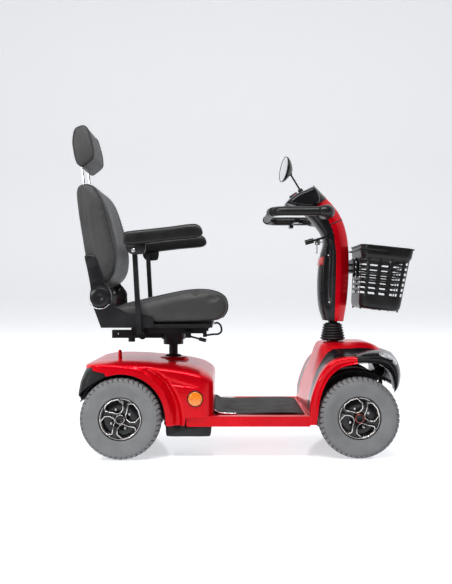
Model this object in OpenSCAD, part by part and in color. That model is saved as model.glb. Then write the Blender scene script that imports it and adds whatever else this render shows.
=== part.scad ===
// Four-wheel mobility scooter with a swivelling, reclining captain's seat.
// X points forwards, Y to the rider's left and Z up. The origin is on the floor,
// under the middle of the whole scooter.

/* [Wheels] */
// Distance between the rear and front axles
wheelbase = 968; // [940:1:1000]
// Middle of the wheelbase, measured from the origin
wheelbase_mid_x = -17; // [-30:1:0]
// Outer diameter of every tyre
tyre_d = 330; // [318:1:334]
// Width of a rear tyre
rear_tyre_w = 90; // [80:1:94]
// Width of a front tyre
front_tyre_w = 85; // [78:1:88]
// Distance between the centre planes of the rear tyres
rear_track = 544; // [536:1:560]
// Distance between the centre planes of the front tyres
front_track = 500; // [490:1:508]
// Diameter of the rims where the tyres sit
rim_d = 172; // [164:1:180]
// Width of the rims
rim_w = 68; // [60:1:74]
// Diameter of the stub axles and half shafts
axle_d = 20; // [16:1:24]
// Diameter of the circle of wheel nuts
nut_circle_d = 80; // [72:1:86]
// Number of wheel nuts and spokes on a rim
nut_count = 4; // [3:1:5]
// Diameter of the anti-tip wheels
tip_wheel_d = 60; // [50:1:70]

/* [Steering] */
// Distance between the two kingpins
kingpin_track = 430; // [424:1:436]
// Length of the pitman arm and of the knuckle arms
steer_arm = 60; // [52:1:62]
// How far the steering column stands behind the front axle
column_setback = 69; // [60:1:80]
// Diameter of the steering stem
stem_d = 32; // [26:1:36]
// Height of the tiller's tilt pivot
tilt_z = 500; // [490:1:506]
// Diameter of the tilt pivot pin
tilt_pin_d = 12; // [10:1:14]

/* [Chassis] */
// Width of the main frame tubes
rail_w = 30; // [24:1:34]
// Height of the main frame tubes
rail_h = 40; // [34:1:44]
// Distance from the middle to the main frame tubes
rail_y = 175; // [170:1:180]
// Distance from the middle to the front frame tubes
nose_rail_y = 75; // [66:1:84]
// Height of the foot deck's upper face
deck_z = 172; // [168:1:180]
// Thickness of the deck pan
deck_t = 6; // [4:1:8]
// Width of the deck between its side rails
deck_w = 516; // [500:2:524]
// Width of a red side rail
sill_w = 26; // [20:1:30]
// Height of a red side rail
sill_h = 42; // [36:1:46]
// Thickness of the deck mat
mat_t = 4; // [3:0.5:6]

/* [Bodywork] */
// Wall of the moulded body shells
wall = 4; // [3:0.5:5]
// Full width of the rear body
rear_body_w = 600; // [590:1:606]
// Full width of the front fenders
fender_w = 584; // [576:1:590]
// Radius of the rear wheel arches
arch_r = 180; // [176:1:186]
// Radius of the front wheel arches
front_arch_r = 182; // [180:1:186]
// How much higher than a round arch the front arches rise
front_arch_rise = 42; // [34:1:44]
// Distance from the middle to the inner wall of the front wheel wells
front_well_y = 118; // [112:1:120]
// Gap between neighbouring body panels
panel_gap = 0.3; // [0.2:0.1:1]

/* [Power] */
// Length of one battery
battery_l = 182; // [160:1:184]
// Width of one battery
battery_w = 148; // [120:1:150]
// Height of one battery
battery_h = 130; // [110:1:134]
// Diameter of the drive motor
motor_d = 96; // [80:1:104]

/* [Seat] */
// Distance from the origin back to the seat post
post_x = -308; // [-316:1:-300]
// Diameter of the seat post
post_d = 39; // [34:1:42]
// Height of the seat base plate's underside
seat_base_z = 500; // [498:1:504]
// Width of the seat cushion
seat_w = 470; // [440:2:472]
// Width of the backrest
back_w = 440; // [420:2:440]
// Width of the headrest
headrest_w = 260; // [220:2:280]
// Distance between the headrest posts
headrest_post_gap = 144; // [120:1:160]
// Diameter of the headrest posts
headrest_post_d = 10; // [8:1:12]
// Height of the recline hinge
recline_z = 660; // [656:1:664]
// Distance from the origin back to the recline hinge
recline_x = -590; // [-594:1:-586]
// Height of the armrest pivots
arm_pivot_z = 845; // [840:1:850]
// Width of an armrest pad
arm_pad_w = 50; // [44:1:54]
// Side of the square armrest tubes
arm_tube = 20; // [18:1:22]

/* [Tiller] */
// Width of the tiller's covers
tiller_w = 130; // [110:1:140]
// Width of the control console
console_w = 190; // [170:2:200]
// Width of the handlebar loop
loop_w = 440; // [420:2:460]
// Length of the handlebar loop between its front and rear bars
loop_l = 238; // [230:1:242]
// Height of the handlebar loop
loop_z = 1012; // [1008:1:1014]
// Diameter of the handlebar tube
bar_d = 32; // [28:1:34]
// Thickness of the foam grips
grip_t = 4; // [3:0.5:6]
// Length of the foam grips
grip_l = 120; // [100:1:126]
// Diameter of the mirror head
mirror_d = 120; // [100:1:130]

/* [Basket] */
// Length of the basket's rim from front to back
basket_l = 220; // [200:1:222]
// Width of the basket's rim
basket_w = 300; // [260:2:320]
// Depth of the basket
basket_h = 280; // [260:1:284]
// How much narrower the basket is at its floor
basket_taper = 34; // [20:1:40]
// Height of a slot in the basket's walls
slot_h = 11; // [8:1:13]
// Distance from one row of slots to the next
slot_pitch = 22; // [20:1:24]

/* [Hidden] */
$fn = 48;
fit = 0.05;          // radial clearance of a running fit
soft_gap = 0.3;      // clearance round soft pieces
seat_gap = 0.1;      // clearance under pieces that are bolted or clipped on

rear_x = wheelbase_mid_x - wheelbase / 2;
front_x = wheelbase_mid_x + wheelbase / 2;
axle_z = tyre_d / 2;
column_x = front_x - column_setback;
rear_wheel_y = rear_track / 2;
front_wheel_y = front_track / 2;
kingpin_y = kingpin_track / 2;
hub_reach = 22;      // axle length beyond a tyre's centre plane
hollow_r = rim_d / 2 - 9;

// Chassis levels
rail_top = deck_z - deck_t;
rail_z = rail_top - rail_h;
rear_rail_z = axle_z + 50;
rear_rail_h = 40;
tube_wall = 3;
main_rear_x = post_x - 22;
main_front_x = column_x - 136;
nose_rail_z = axle_z + 25;
nose_rail_h = 30;
nose_front_x = front_x + 133;
riser_x = main_front_x + 14;
bumper_arm_z = nose_rail_z + 110;
kingpin_half = 40;   // half height of the kingpin yokes
kingpin_d = 16;
yoke_t = 8;
rod_pin_d = 10;
arm_t = 14;
arm_z = axle_z - 22;
stem_top = tilt_z + 22;
bearing_top = tilt_z - 60;
socket_top = 396;

// Bodywork positions
body_rear_x = rear_x - 154;
body_front_x = post_x + 184;
bumper_depth = 24;
body_step_x = post_x + 68;
body_top = 405;
rear_well_y = rear_wheel_y - rear_tyre_w / 2 - 22;
sill_top = deck_z + 2;
sill_bottom = sill_top - sill_h;
shroud_top = tilt_z - 36;
arch_top_z = axle_z + front_arch_rise;

// Seat levels
base_t = 12;
rail_seat_h = 12;
pan_z = seat_base_z + base_t + rail_seat_h + 6;
pan_t = 15;
cushion_z = pan_z + pan_t + soft_gap;
slide_bar_y = -165;
plate_y = seat_w / 2 + 2;
plate_t = 6;
hinge_in = back_w / 2 + 1;
hinge_t = plate_y - hinge_in - 0.5;
arm_y = plate_y + plate_t + 2;
pad_y = arm_y + arm_tube + 1;
arm_x = recline_x + 161;
arm_pivot_x = recline_x + 142;

// Tiller positions
grip_x = column_x - 283;
bar_front_x = grip_x + loop_l;
loop_corner = 60;
console_z = loop_z + 46;
split_gap = 0.4;
basket_rear_x = column_x + 111;
basket_top = 881;
hanger_z = 820;
hanger_x = basket_rear_x - 28.5;
tilt_lever_x = column_x - 20;
tilt_lever_z = tilt_z + 420;
key_x = column_x - 37.5;
key_y = -28;
key_z = tilt_z + 396;
mirror_x = column_x - 134;
mirror_y = console_w / 2 - 15;
mirror_boss_top = console_z + 67;
thread_d = 8;
wag_x = column_x - 148;
wag_z = loop_z - 24;
// Slope of the console's button face, and a point on it
panel_tilt = 31.5;
panel_x = column_x - 170.5;
panel_z = console_z + 42.5;
button_d = 16;
button_y = 48;
dial_shaft_d = 10;

// ---- Helpers ----

// A side view outline, given in X and Z, extruded to both sides of the middle
module across(w) {
    rotate([90, 0, 0]) linear_extrude(w, center = true) children();
}

// The same outline, extruded from y0 to y1
module side_slab(y0, y1) {
    translate([0, (y0 + y1) / 2, 0]) across(y1 - y0) children();
}

// Left and right copies
module both_sides() {
    children();
    mirror([0, 1, 0]) children();
}

// The left copy for side = 1, the right copy for side = -1
module on_side(side) {
    if (side > 0) children();
    else mirror([0, 1, 0]) children();
}

// Round bar along Y
module bar_y(r, y0, y1) {
    translate([0, y0, 0]) rotate([-90, 0, 0]) cylinder(r = r, h = y1 - y0);
}

// Round bar along X
module bar_x(r, x0, x1) {
    translate([x0, 0, 0]) rotate([0, 90, 0]) cylinder(r = r, h = x1 - x0);
}

// Round bar between two points
module rod(a, b, r) {
    d = b - a;
    h = norm(d);
    flat = norm([d[0], d[1]]);
    translate(a) rotate([0, atan2(flat, d[2]), atan2(d[1], d[0])]) cylinder(r = r, h = h);
}

// Round bar through points of one XZ plane, with a short drum at each corner
module rod_path(points, r) {
    for (i = [0 : len(points) - 2]) rod(points[i], points[i + 1], r);
    for (p = [for (i = [1 : len(points) - 2]) points[i]])
        translate([p[0], 0, p[2]]) bar_y(r + 1, p[1] - r - 0.6, p[1] + r + 0.6);
}

// Box given by its lowest and highest corners
module box(low, high) {
    translate(low) cube(high - low);
}

// Points of an arc, from angle a0 to a1
function arc(cx, cy, r, a0, a1, n = 6) =
    [for (i = [0 : n]) [cx + r * cos(a0 + (a1 - a0) * i / n), cy + r * sin(a0 + (a1 - a0) * i / n)]];

// Plan of a body panel: a rectangle with its own front and rear corner radii
function plan(x0, x1, half, r_rear, r_front) = concat(
    arc(x1 - r_front, half - r_front, r_front, 0, 90),
    arc(x0 + r_rear, half - r_rear, r_rear, 90, 180),
    arc(x0 + r_rear, r_rear - half, r_rear, 180, 270),
    arc(x1 - r_front, r_front - half, r_front, 270, 360));

// Rectangle with rounded corners, centred on a point
module rounded(cx, cy, w, h, r) {
    polygon(concat(
        arc(cx + w / 2 - r, cy + h / 2 - r, r, 0, 90), arc(cx - w / 2 + r, cy + h / 2 - r, r, 90, 180),
        arc(cx - w / 2 + r, cy - h / 2 + r, r, 180, 270), arc(cx + w / 2 - r, cy - h / 2 + r, r, 270, 360)));
}

// ---- Chassis ----

// Opening of a front wheel arch in side view: a circle drawn out upwards
module front_arch(r) {
    translate([front_x, axle_z]) circle(r = r, $fn = 96);
    translate([front_x, arch_top_z]) circle(r = r, $fn = 96);
    translate([front_x - r, axle_z]) square([2 * r, front_arch_rise]);
}

// Yoke that holds a kingpin above and below the knuckle
module kingpin_yoke() {
    x0 = front_x - 20;
    x1 = front_x + 20;
    inner = kingpin_y - 37;
    box([x0, inner, axle_z - kingpin_half], [x1, inner + 12, axle_z + kingpin_half]);
    for (z = [axle_z - kingpin_half, axle_z + kingpin_half - yoke_t])
        box([x0, inner, z], [x1, kingpin_y + 15, z + yoke_t]);
    translate([front_x, kingpin_y, axle_z - kingpin_half])
        cylinder(d = kingpin_d, h = 2 * kingpin_half);
}

// Arm that carries an anti-tip wheel behind the rear axle
tip_y = 120;
tip_x = body_rear_x + 70;
tip_z = 22 + tip_wheel_d / 2;
module anti_tip_arm() {
    w = 24;
    box([tip_x - 12, tip_y - 26, tip_z + tip_wheel_d / 2 + 6],
        [tip_x + 12, tip_y + 26, rear_rail_z]);
    for (y = [tip_y - 26, tip_y + 20])
        box([tip_x - 12, y, tip_z - 12], [tip_x + 12, y + 6, tip_z + tip_wheel_d / 2 + 6]);
    box([tip_x - 15, tip_y - 26, rear_rail_z],
        [tip_x + 15, rail_y, rear_rail_z + w]);
    translate([tip_x, 0, tip_z]) bar_y(5, tip_y - 26, tip_y + 26);
}

module chassis_frame() {
    color("#26282b") difference() {
        union() {
            both_sides() {
                y0 = rail_y - rail_w / 2;
                y1 = rail_y + rail_w / 2;
                box([main_rear_x, y0, rail_z], [main_front_x, y1, rail_top]);
                box([main_rear_x, y0, rail_z], [main_rear_x + 30, y1, rear_rail_z + rear_rail_h]);
                box([body_rear_x + 12, y0, rear_rail_z], [main_rear_x + 30, y1, rear_rail_z + rear_rail_h]);
                n0 = nose_rail_y - 15;
                n1 = nose_rail_y + 15;
                box([main_front_x - 30, n0, rail_z], [riser_x + 30, n1, rail_top - 4]);
                box([riser_x, n0, rail_z], [riser_x + 30, n1, nose_rail_z + nose_rail_h]);
                box([riser_x, n0, nose_rail_z], [nose_front_x, n1, nose_rail_z + nose_rail_h]);
                box([nose_front_x - 12, n0, nose_rail_z], [nose_front_x, n1, bumper_arm_z + 24]);
                kingpin_yoke();
                anti_tip_arm();
                // Outriggers under the deck
                for (x = [main_rear_x + 100, (main_rear_x + main_front_x) / 2 + 60])
                    box([x, rail_y, rail_top - 22], [x + 26, deck_w / 2 - 8, rail_top]);
            }
            // Cross members
            for (x = [main_front_x - 30, main_rear_x + 216])
                box([x, -rail_y, rail_z], [x + 30, rail_y, rail_z + 30]);
            for (x = [body_rear_x + 12, post_x - 40])
                box([x, -rail_y, rear_rail_z + 8], [x + 80, rail_y, rear_rail_z + rear_rail_h]);
            box([nose_front_x - 30, 15 - nose_rail_y, nose_rail_z], [nose_front_x, nose_rail_y, nose_rail_z + nose_rail_h]);
            // Ear and pin of the freewheel lever
            box([rear_x - 34, -rail_y, rear_rail_z], [rear_x - 10, 15 - rail_y, body_top - 12]);
            translate([rear_x - 22, 0, body_top - 22]) bar_y(4, -rail_y, -146);
            // Front axle beam
            box([front_x - 15, -(kingpin_y - 30), axle_z - 15], [front_x + 15, kingpin_y - 30, nose_rail_z + 8]);
            // Column bearing on its plate
            box([column_x - 34, -nose_rail_y, nose_rail_z], [column_x + 34, nose_rail_y, nose_rail_z + 16]);
            translate([column_x, 0, nose_rail_z]) cylinder(r = stem_d / 2 + 10, h = bearing_top - nose_rail_z);
            // Seat socket
            translate([post_x, 0, rear_rail_z + 8]) cylinder(r = post_d / 2 + 7, h = socket_top - rear_rail_z - 8);
        }
        // Hollow tubes, open at their ends
        both_sides() {
            y0 = rail_y - rail_w / 2 + tube_wall;
            y1 = rail_y + rail_w / 2 - tube_wall;
            box([main_rear_x + 30 + tube_wall, y0, rail_z + tube_wall], [main_front_x + 1, y1, rail_top - tube_wall]);
            box([body_rear_x + 11, y0, rear_rail_z + tube_wall],
                [main_rear_x - tube_wall, y1, rear_rail_z + rear_rail_h - tube_wall]);
        }
        translate([column_x, 0, nose_rail_z - 1]) cylinder(r = stem_d / 2 + fit, h = bearing_top - nose_rail_z + 2);
        translate([post_x, 0, rear_rail_z]) cylinder(r = post_d / 2 + fit, h = socket_top - rear_rail_z + 1);
    }
}

module transaxle() {
    color("#5c6064") difference() {
        union() {
            translate([rear_x, 0, axle_z]) bar_y(26, -(rear_well_y - 4), rear_well_y - 4);
            translate([rear_x, 0, axle_z]) bar_y(60, -42, 42);
            translate([0, 0, axle_z]) bar_x(motor_d / 2, rear_x - 142, rear_x - 20);
            both_sides()
                box([rear_x - 20, rail_y - 10, axle_z], [rear_x + 20, rail_y + 10, rear_rail_z]);
        }
        both_sides()
            translate([rear_x, 0, axle_z]) bar_y(axle_d / 2 + fit, 60, rear_well_y);
    }
}

module battery_box() {
    half = rail_y - rail_w / 2 - 2;
    x0 = post_x - 20;
    x1 = body_front_x - 8;
    z0 = rail_z - 41;
    top = z0 + 3 + battery_h;
    color("#1c1c1e") {
        difference() {
            box([x0, -half, z0], [x1, half, top]);
            box([x0 + 3, 3 - half, z0 + 3], [x1 - 3, half - 3, top + 1]);
        }
        // Lips that hang the box under the frame tubes
        both_sides()
            box([x0, half, rail_z - 3], [x1, half + rail_w, rail_z]);
    }
}

module batteries() {
    x0 = post_x - 20 + 3.5;
    z0 = rail_z - 41 + 3;
    color("#8a8d90") both_sides() {
        difference() {
            box([x0, 1, z0], [x0 + battery_l, 1 + battery_w, z0 + battery_h - 8]);
            box([x0 + 20, 20, z0 + battery_h - 20], [x0 + battery_l - 20, battery_w - 18, z0 + battery_h]);
        }
        for (x = [x0 + 8, x0 + battery_l - 20])
            box([x, 12, z0 + battery_h - 8], [x + 12, 24, z0 + battery_h]);
    }
}

// ---- Deck ----

module deck_shell() {
    half = deck_w / 2;
    front = column_x - 136;
    color("#222224")
        box([body_front_x - 6, -half, rail_top], [front - 1, half, deck_z]);
    // Red side rails
    color("#b80718") both_sides() side_slab(half, half + sill_w)
        rounded((body_step_x + front) / 2 + 5, (sill_top + sill_bottom) / 2,
                front - body_step_x + 10 - 8, sill_h, 8);
}

module deck_mat() {
    half = deck_w / 2 - 33;
    x0 = body_front_x + panel_gap;
    x1 = column_x - 146;
    color("#2e2826") across(2 * half)
        polygon([[x0, deck_z], [x1, deck_z], [x1, deck_z + mat_t], [x0 + 28, deck_z + mat_t],
                 [x0 + 12, deck_z + mat_t + 4], [x0 + 4, deck_z + mat_t + 14], [x0, deck_z + mat_t + 16]]);
}

// ---- Bodywork ----

// Side view of the rear body, drawn in by i all round; open below
function rear_side(i) = [
    [body_rear_x + i, i > 0 ? 0 : axle_z + 60],
    [body_rear_x + i, body_top - 24], [body_rear_x + 15, body_top - 7 - i],
    [rear_x - 66, body_top - i], [rear_x + 65, body_top - 1 - i],
    [post_x - 58, body_top - 12 - i], [post_x + 72, body_top - 25 - i],
    [post_x + 142, body_top - 55 - i], [body_front_x - 5 - i, body_top - 74 - i],
    [body_front_x - i, body_top - 105 - i], [body_front_x - i, i > 0 ? 0 : sill_top + panel_gap],
    [body_step_x - panel_gap, i > 0 ? 0 : sill_top + panel_gap],
    [body_step_x - panel_gap, i > 0 ? 0 : sill_bottom + 5],
    [body_step_x - 90, i > 0 ? 0 : sill_bottom + 5],
    [body_step_x - 90, i > 0 ? 0 : axle_z + 60]];

module rear_body() {
    half = rear_body_w / 2;
    lever_x = rear_x - 22;
    color("#c1071b") difference() {
        union() {
            difference() {
                intersection() {
                    across(rear_body_w) polygon(rear_side(0));
                    linear_extrude(600) polygon(plan(body_rear_x, body_front_x, half, 70, 45));
                }
                // Hollow inside, round the wheel wells
                difference() {
                    intersection() {
                        across(rear_body_w) polygon(rear_side(wall));
                        linear_extrude(600)
                            polygon(plan(body_rear_x + wall, body_front_x - wall, half - wall, 66, 41));
                    }
                    both_sides() translate([rear_x, 0, axle_z]) bar_y(arch_r + wall, rear_well_y - wall, half);
                }
            }
            // Raised boss round the seat post
            translate([post_x, 0, body_top - 34]) cylinder(r1 = 76, r2 = 66, h = socket_top - body_top + 33);
        }
        both_sides() translate([rear_x, 0, axle_z]) bar_y(arch_r, rear_well_y, half + 1);
        translate([post_x, 0, 300]) cylinder(r = post_d / 2 + 7 + panel_gap, h = 200);
        box([lever_x - 12, -156, body_top - 40], [lever_x + 30, -144, body_top + 10]);
        // Clearance for the foot of the wells over the axle
        box([rear_x - 30, -rear_well_y - 1, 0], [rear_x + 30, rear_well_y + 1, axle_z + 30]);
    }
}

module rear_bumper() {
    half = rear_body_w / 2 - 6;
    x0 = body_rear_x - bumper_depth;
    x1 = rear_x - 112;
    z0 = axle_z + 60;
    z1 = axle_z + 193;
    color("#202123") intersection() {
        translate([0, 0, z0]) linear_extrude(z1 - z0) difference() {
            polygon(plan(x0, x1, half, 80, 4));
            polygon(plan(body_rear_x - panel_gap, body_front_x, half - 12, 66, 4));
            polygon(plan(body_rear_x - panel_gap, body_front_x, rear_body_w / 2 + 9, 70, 45));
        }
        union() {
            across(2 * rear_well_y + 2) translate([x0 - 10, z0 - 5]) square([x1 - x0 + 20, z1 - z0 + 10]);
            both_sides() side_slab(rear_well_y, half + 10) difference() {
                translate([x0 - 10, z0 - 5]) square([x1 - x0 + 20, z1 - z0 + 10]);
                translate([rear_x, axle_z]) circle(r = arch_r, $fn = 96);
            }
        }
    }
}

// Side view of a front fender, drawn in by i
function fender_side(i) = [
    [column_x - 136 + 8 + i, i > 0 ? 0 : sill_bottom + 5], [column_x - 134 + i, axle_z + 22],
    [column_x - 128 + i, axle_z + 79], [column_x - 105 + i, axle_z + 147 - i],
    [column_x - 77 + i, axle_z + 199 - i], [column_x - 37, axle_z + 236 - i],
    [column_x + 20, axle_z + 247 - i], [front_x - 12, axle_z + 250 - i],
    [front_x + 40, axle_z + 250 - i], [front_x + 40, i > 0 ? 0 : sill_bottom + 5]];

// Side view of the shroud's middle, drawn in by i
function tower_side(i) = [
    [column_x - 138 + i, i > 0 ? 0 : deck_z + 0.3], [column_x - 128 + i, axle_z + 79],
    [column_x - 105 + i, axle_z + 150], [column_x - 80 + i, axle_z + 205],
    [column_x - 66 + i, shroud_top - 40], [column_x - 60 + i, shroud_top - i],
    [front_x + 69, shroud_top - 1 - i], [front_x + 126 - i, shroud_top - 26 - i],
    [front_x + 140 - i, shroud_top - 45 - i], [front_x + 140 - i, i > 0 ? 0 : axle_z + 105]];

module front_shroud() {
    half = fender_w / 2;
    color("#c1071b") difference() {
        union() {
            intersection() {
                across(fender_w) polygon(fender_side(0));
                linear_extrude(600) polygon(plan(column_x - 140, front_x + 160, half, 24, 60));
            }
            across(2 * front_well_y - 1) polygon(tower_side(0));
        }
        difference() {
            union() {
                across(fender_w - 2 * wall) polygon(fender_side(wall));
                across(2 * front_well_y - 2 * wall - 1) polygon(tower_side(wall));
            }
            // The tower's side walls stay
            both_sides() side_slab(front_well_y - wall - 0.5, front_well_y - 0.5)
                polygon(tower_side(0));
        }
        both_sides() side_slab(front_well_y - 0.5 + panel_gap, half + 1) front_arch(front_arch_r);
        // Room for the beam, the tie rods and the deck
        box([front_x - 30, -half - 1, -1], [front_x + 30, half + 1, nose_rail_z + 20]);
        box([column_x - 90, -half - 1, -1], [column_x + 50, half + 1, nose_rail_z + 2]);
        translate([column_x, 0, shroud_top - 20]) cylinder(r = 42, h = 60);
        both_sides() box([nose_front_x - 1, nose_rail_y - 14, bumper_arm_z - 1],
                         [front_x + 200, nose_rail_y + 14, bumper_arm_z + 25]);
        box([column_x - 139, -deck_w / 2 - sill_w - 1, sill_bottom - 1],
            [column_x - 125, deck_w / 2 + sill_w + 1, deck_z + mat_t + 1]);
    }
}

// Black liners of the front wheel wells and the strips beside the footwell
module front_liner() {
    color("#17181a") both_sides() difference() {
        side_slab(front_well_y, fender_w / 2 - wall - panel_gap) difference() {
            intersection() {
                front_arch(front_arch_r + 3);
                translate([front_x - 200, sill_bottom + 8]) square([400, 400]);
            }
            front_arch(front_arch_r);
        }
        box([front_x + 41, -1, 0], [front_x + 300, 400, axle_z + 108]);
        box([front_x - 30, -1, 0], [front_x + 30, front_well_y + 4, nose_rail_z + 20]);
    }
}

// Outer form of the front bumper
module bumper_outer(w) {
    x0 = front_x + 41;
    top = axle_z + 266;
    intersection() {
        across(w) polygon([
            [x0, top - 2], [front_x + 102, top + 1], [front_x + 131, top - 20], [front_x + 172, top - 54],
            [front_x + 200, top - 95], [front_x + 196, top - 135], [front_x + 178, top - 161],
            [front_x + 148, top - 161], [x0, top - 40]]);
        translate([0, 0, axle_z]) linear_extrude(300) polygon(plan(x0 - 200, front_x + 203, w / 2, 4, 150));
    }
}

// Windows of the two headlamps, drawn in by i
module lamp_window(i) {
    both_sides() box([front_x + 112 + i, 96 + i, axle_z + 203 + i], [front_x + 210, 196 - i, axle_z + 238 - i]);
}

module front_bumper() {
    x0 = front_x + 41;
    top = axle_z + 266;
    color("#17181a") difference() {
        bumper_outer(fender_w);
        // Hollow over the wheels and behind the nose
        across(fender_w - 2 * wall) polygon([
            [x0 - 1, top - 6], [front_x + 100, top - 3], [front_x + 128, top - 24], [front_x + 166, top - 58],
            [front_x + 192, top - 97], [front_x + 188, top - 135], [front_x + 170, top - 200], [x0 - 1, top - 200]]);
        across(2 * front_well_y + 2 * panel_gap) polygon(tower_side(-panel_gap));
        both_sides() side_slab(front_well_y - 1, fender_w / 2 + 1) front_arch(front_arch_r);
        lamp_window(0);
    }
    // Brackets back to the uprights of the front frame tubes
    color("#17181a") both_sides()
        box([nose_front_x, nose_rail_y - 13, bumper_arm_z], [front_x + 193, nose_rail_y + 13, bumper_arm_z + 24]);
}

module headlamp() {
    color("#dfe6ea") difference() {
        intersection() {
            bumper_outer(fender_w - 1);
            lamp_window(panel_gap);
        }
        both_sides() side_slab(front_well_y - 1, fender_w / 2 + 1) front_arch(front_arch_r + 2);
        across(2 * front_well_y + 2) polygon(tower_side(-1));
    }
}

// Amber side reflectors, red rear reflectors and the tail lamps
module reflectors() {
    color("#f28a10") both_sides() translate([body_front_x - 75, 0, axle_z + 82])
        bar_y(33, rear_body_w / 2 + panel_gap, rear_body_w / 2 + 9);
    color("#b01010") both_sides() translate([0, 0, axle_z + 130])
        for (y = [120, 178]) translate([0, y, 0])
            bar_x(22, body_rear_x - bumper_depth - 9, body_rear_x - bumper_depth - panel_gap);
}

// ---- Wheels ----

// Cross-section of a tyre: radius and distance from the centre plane
module tyre(w) {
    r0 = rim_d / 2 + 0.1;
    r1 = tyre_d / 2;
    h = w / 2;
    c = 20;
    rotate([-90, 0, 0]) rotate_extrude($fn = 96) difference() {
        polygon(concat([[r0, -h + 14], [r0 + 14, -h + 3]], [[r1 - 34, -h]],
            arc(r1 - c, -h + c, c, 270, 360, 4), arc(r1 - c, h - c, c, 0, 90, 4),
            [[r1 - 34, h], [r0 + 14, h - 3], [r0, h - 14]]));
        translate([(r0 + r1) / 2, 0]) circle(r = (r1 - r0) / 2 - 13);
    }
}

// Rim with its hub, spokes, nuts and cap; the outer face looks to +Y
module rim() {
    h = rim_w / 2;
    hub_r = axle_d / 2 + 14;
    face = 20;
    rotate([-90, 0, 0]) {
        difference() {
            union() {
                difference() {
                    translate([0, 0, -h]) cylinder(d = rim_d, h = rim_w);
                    translate([0, 0, -h - 1]) cylinder(r = hollow_r, h = rim_w + 2);
                }
                translate([0, 0, -6]) cylinder(r = hub_r, h = face + 6);
                translate([0, 0, face - 8]) cylinder(r = nut_circle_d / 2 + 11, h = 8);
                for (i = [0 : nut_count - 1]) rotate([0, 0, i * 360 / nut_count + 30])
                    box([nut_circle_d / 2, -9, face - 8], [hollow_r + 3, 9, face]);
            }
            translate([0, 0, -h]) cylinder(r = axle_d / 2 + fit, h = 2 * h);
        }
        // Nuts and the hub cap
        for (i = [0 : nut_count - 1]) rotate([0, 0, i * 360 / nut_count + 30])
            translate([nut_circle_d / 2, 0, face + seat_gap]) cylinder(r = 7.5, h = 9, $fn = 6);
        difference() {
            translate([0, 0, face + seat_gap]) cylinder(r = nut_circle_d / 2 - 12, h = 12);
            translate([0, 0, face - 1]) cylinder(r = axle_d / 2 + 3, h = 6);
        }
    }
}

module rear_tyre(side) {
    color("#7d8083") on_side(side) translate([rear_x, rear_wheel_y, axle_z]) tyre(rear_tyre_w);
}

module front_tyre(side) {
    color("#7d8083") on_side(side) translate([front_x, front_wheel_y, axle_z]) tyre(front_tyre_w);
}

// A rear rim turns with its half shaft
module rear_rim(side) {
    color("#1f2022") on_side(side) {
        translate([rear_x, rear_wheel_y, axle_z]) rim();
        translate([rear_x, 0, axle_z]) bar_y(axle_d / 2, 62, rear_wheel_y + hub_reach);
    }
}

module front_rim(side) {
    color("#1f2022") on_side(side) translate([front_x, front_wheel_y, axle_z]) rim();
}

module anti_tip_wheel(side) {
    color("#3a3b3d") on_side(side) translate([tip_x, tip_y, tip_z]) difference() {
        bar_y(tip_wheel_d / 2, -19, 19);
        bar_y(5 + fit, -20, 20);
    }
}

module rear_tyre_left() rear_tyre(1);
module rear_tyre_right() rear_tyre(-1);
module front_tyre_left() front_tyre(1);
module front_tyre_right() front_tyre(-1);
module rear_rim_left() rear_rim(1);
module rear_rim_right() rear_rim(-1);
module front_rim_left() front_rim(1);
module front_rim_right() front_rim(-1);
module anti_tip_wheel_left() anti_tip_wheel(1);
module anti_tip_wheel_right() anti_tip_wheel(-1);

// ---- Steering ----

// Steering knuckle: turns on the kingpin and carries the stub axle
module knuckle(side) {
    body_h = 2 * kingpin_half - 2 * yoke_t - 2 * soft_gap;
    color("#4a4d50") on_side(side) translate([front_x, kingpin_y, axle_z]) difference() {
        union() {
            translate([0, 0, -body_h / 2]) cylinder(r = kingpin_d / 2 + 7, h = body_h);
            bar_y(axle_d / 2, 0, front_wheel_y - kingpin_y + hub_reach);
            translate([0, 0, arm_z - axle_z]) {
                box([-steer_arm, -9, 0], [0, 9, arm_t]);
                translate([-steer_arm, 0, 0]) cylinder(r = 9, h = arm_t);
            }
        }
        translate([0, 0, -body_h]) cylinder(r = kingpin_d / 2 + fit, h = 2 * body_h);
        translate([-steer_arm, 0, -body_h]) cylinder(r = rod_pin_d / 2 + 1, h = 2 * body_h);
    }
}

// Tie rod from the pitman pin to a knuckle arm; the right one lies lower at the pitman
module tie_rod(side) {
    eye = 8;
    inner_z = arm_z + arm_t + 2 + (side > 0 ? eye + 1 : 0);
    outer_z = arm_z + arm_t + soft_gap;
    px = column_x - steer_arm;
    qx = front_x - steer_arm;
    color("#55585b") on_side(side) difference() {
        union() {
            translate([px, 0, inner_z]) cylinder(r = 10, h = eye);
            translate([qx, kingpin_y, outer_z]) cylinder(r = 9, h = eye);
            translate([qx, kingpin_y, arm_z - 2]) cylinder(d = rod_pin_d, h = outer_z - arm_z + 3);
            rod([px, 6, inner_z + eye / 2], [qx, kingpin_y - 4, outer_z + eye / 2], 4);
        }
        translate([px, 0, inner_z - 1]) cylinder(r = rod_pin_d / 2 + fit, h = eye + 2);
    }
}

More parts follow.
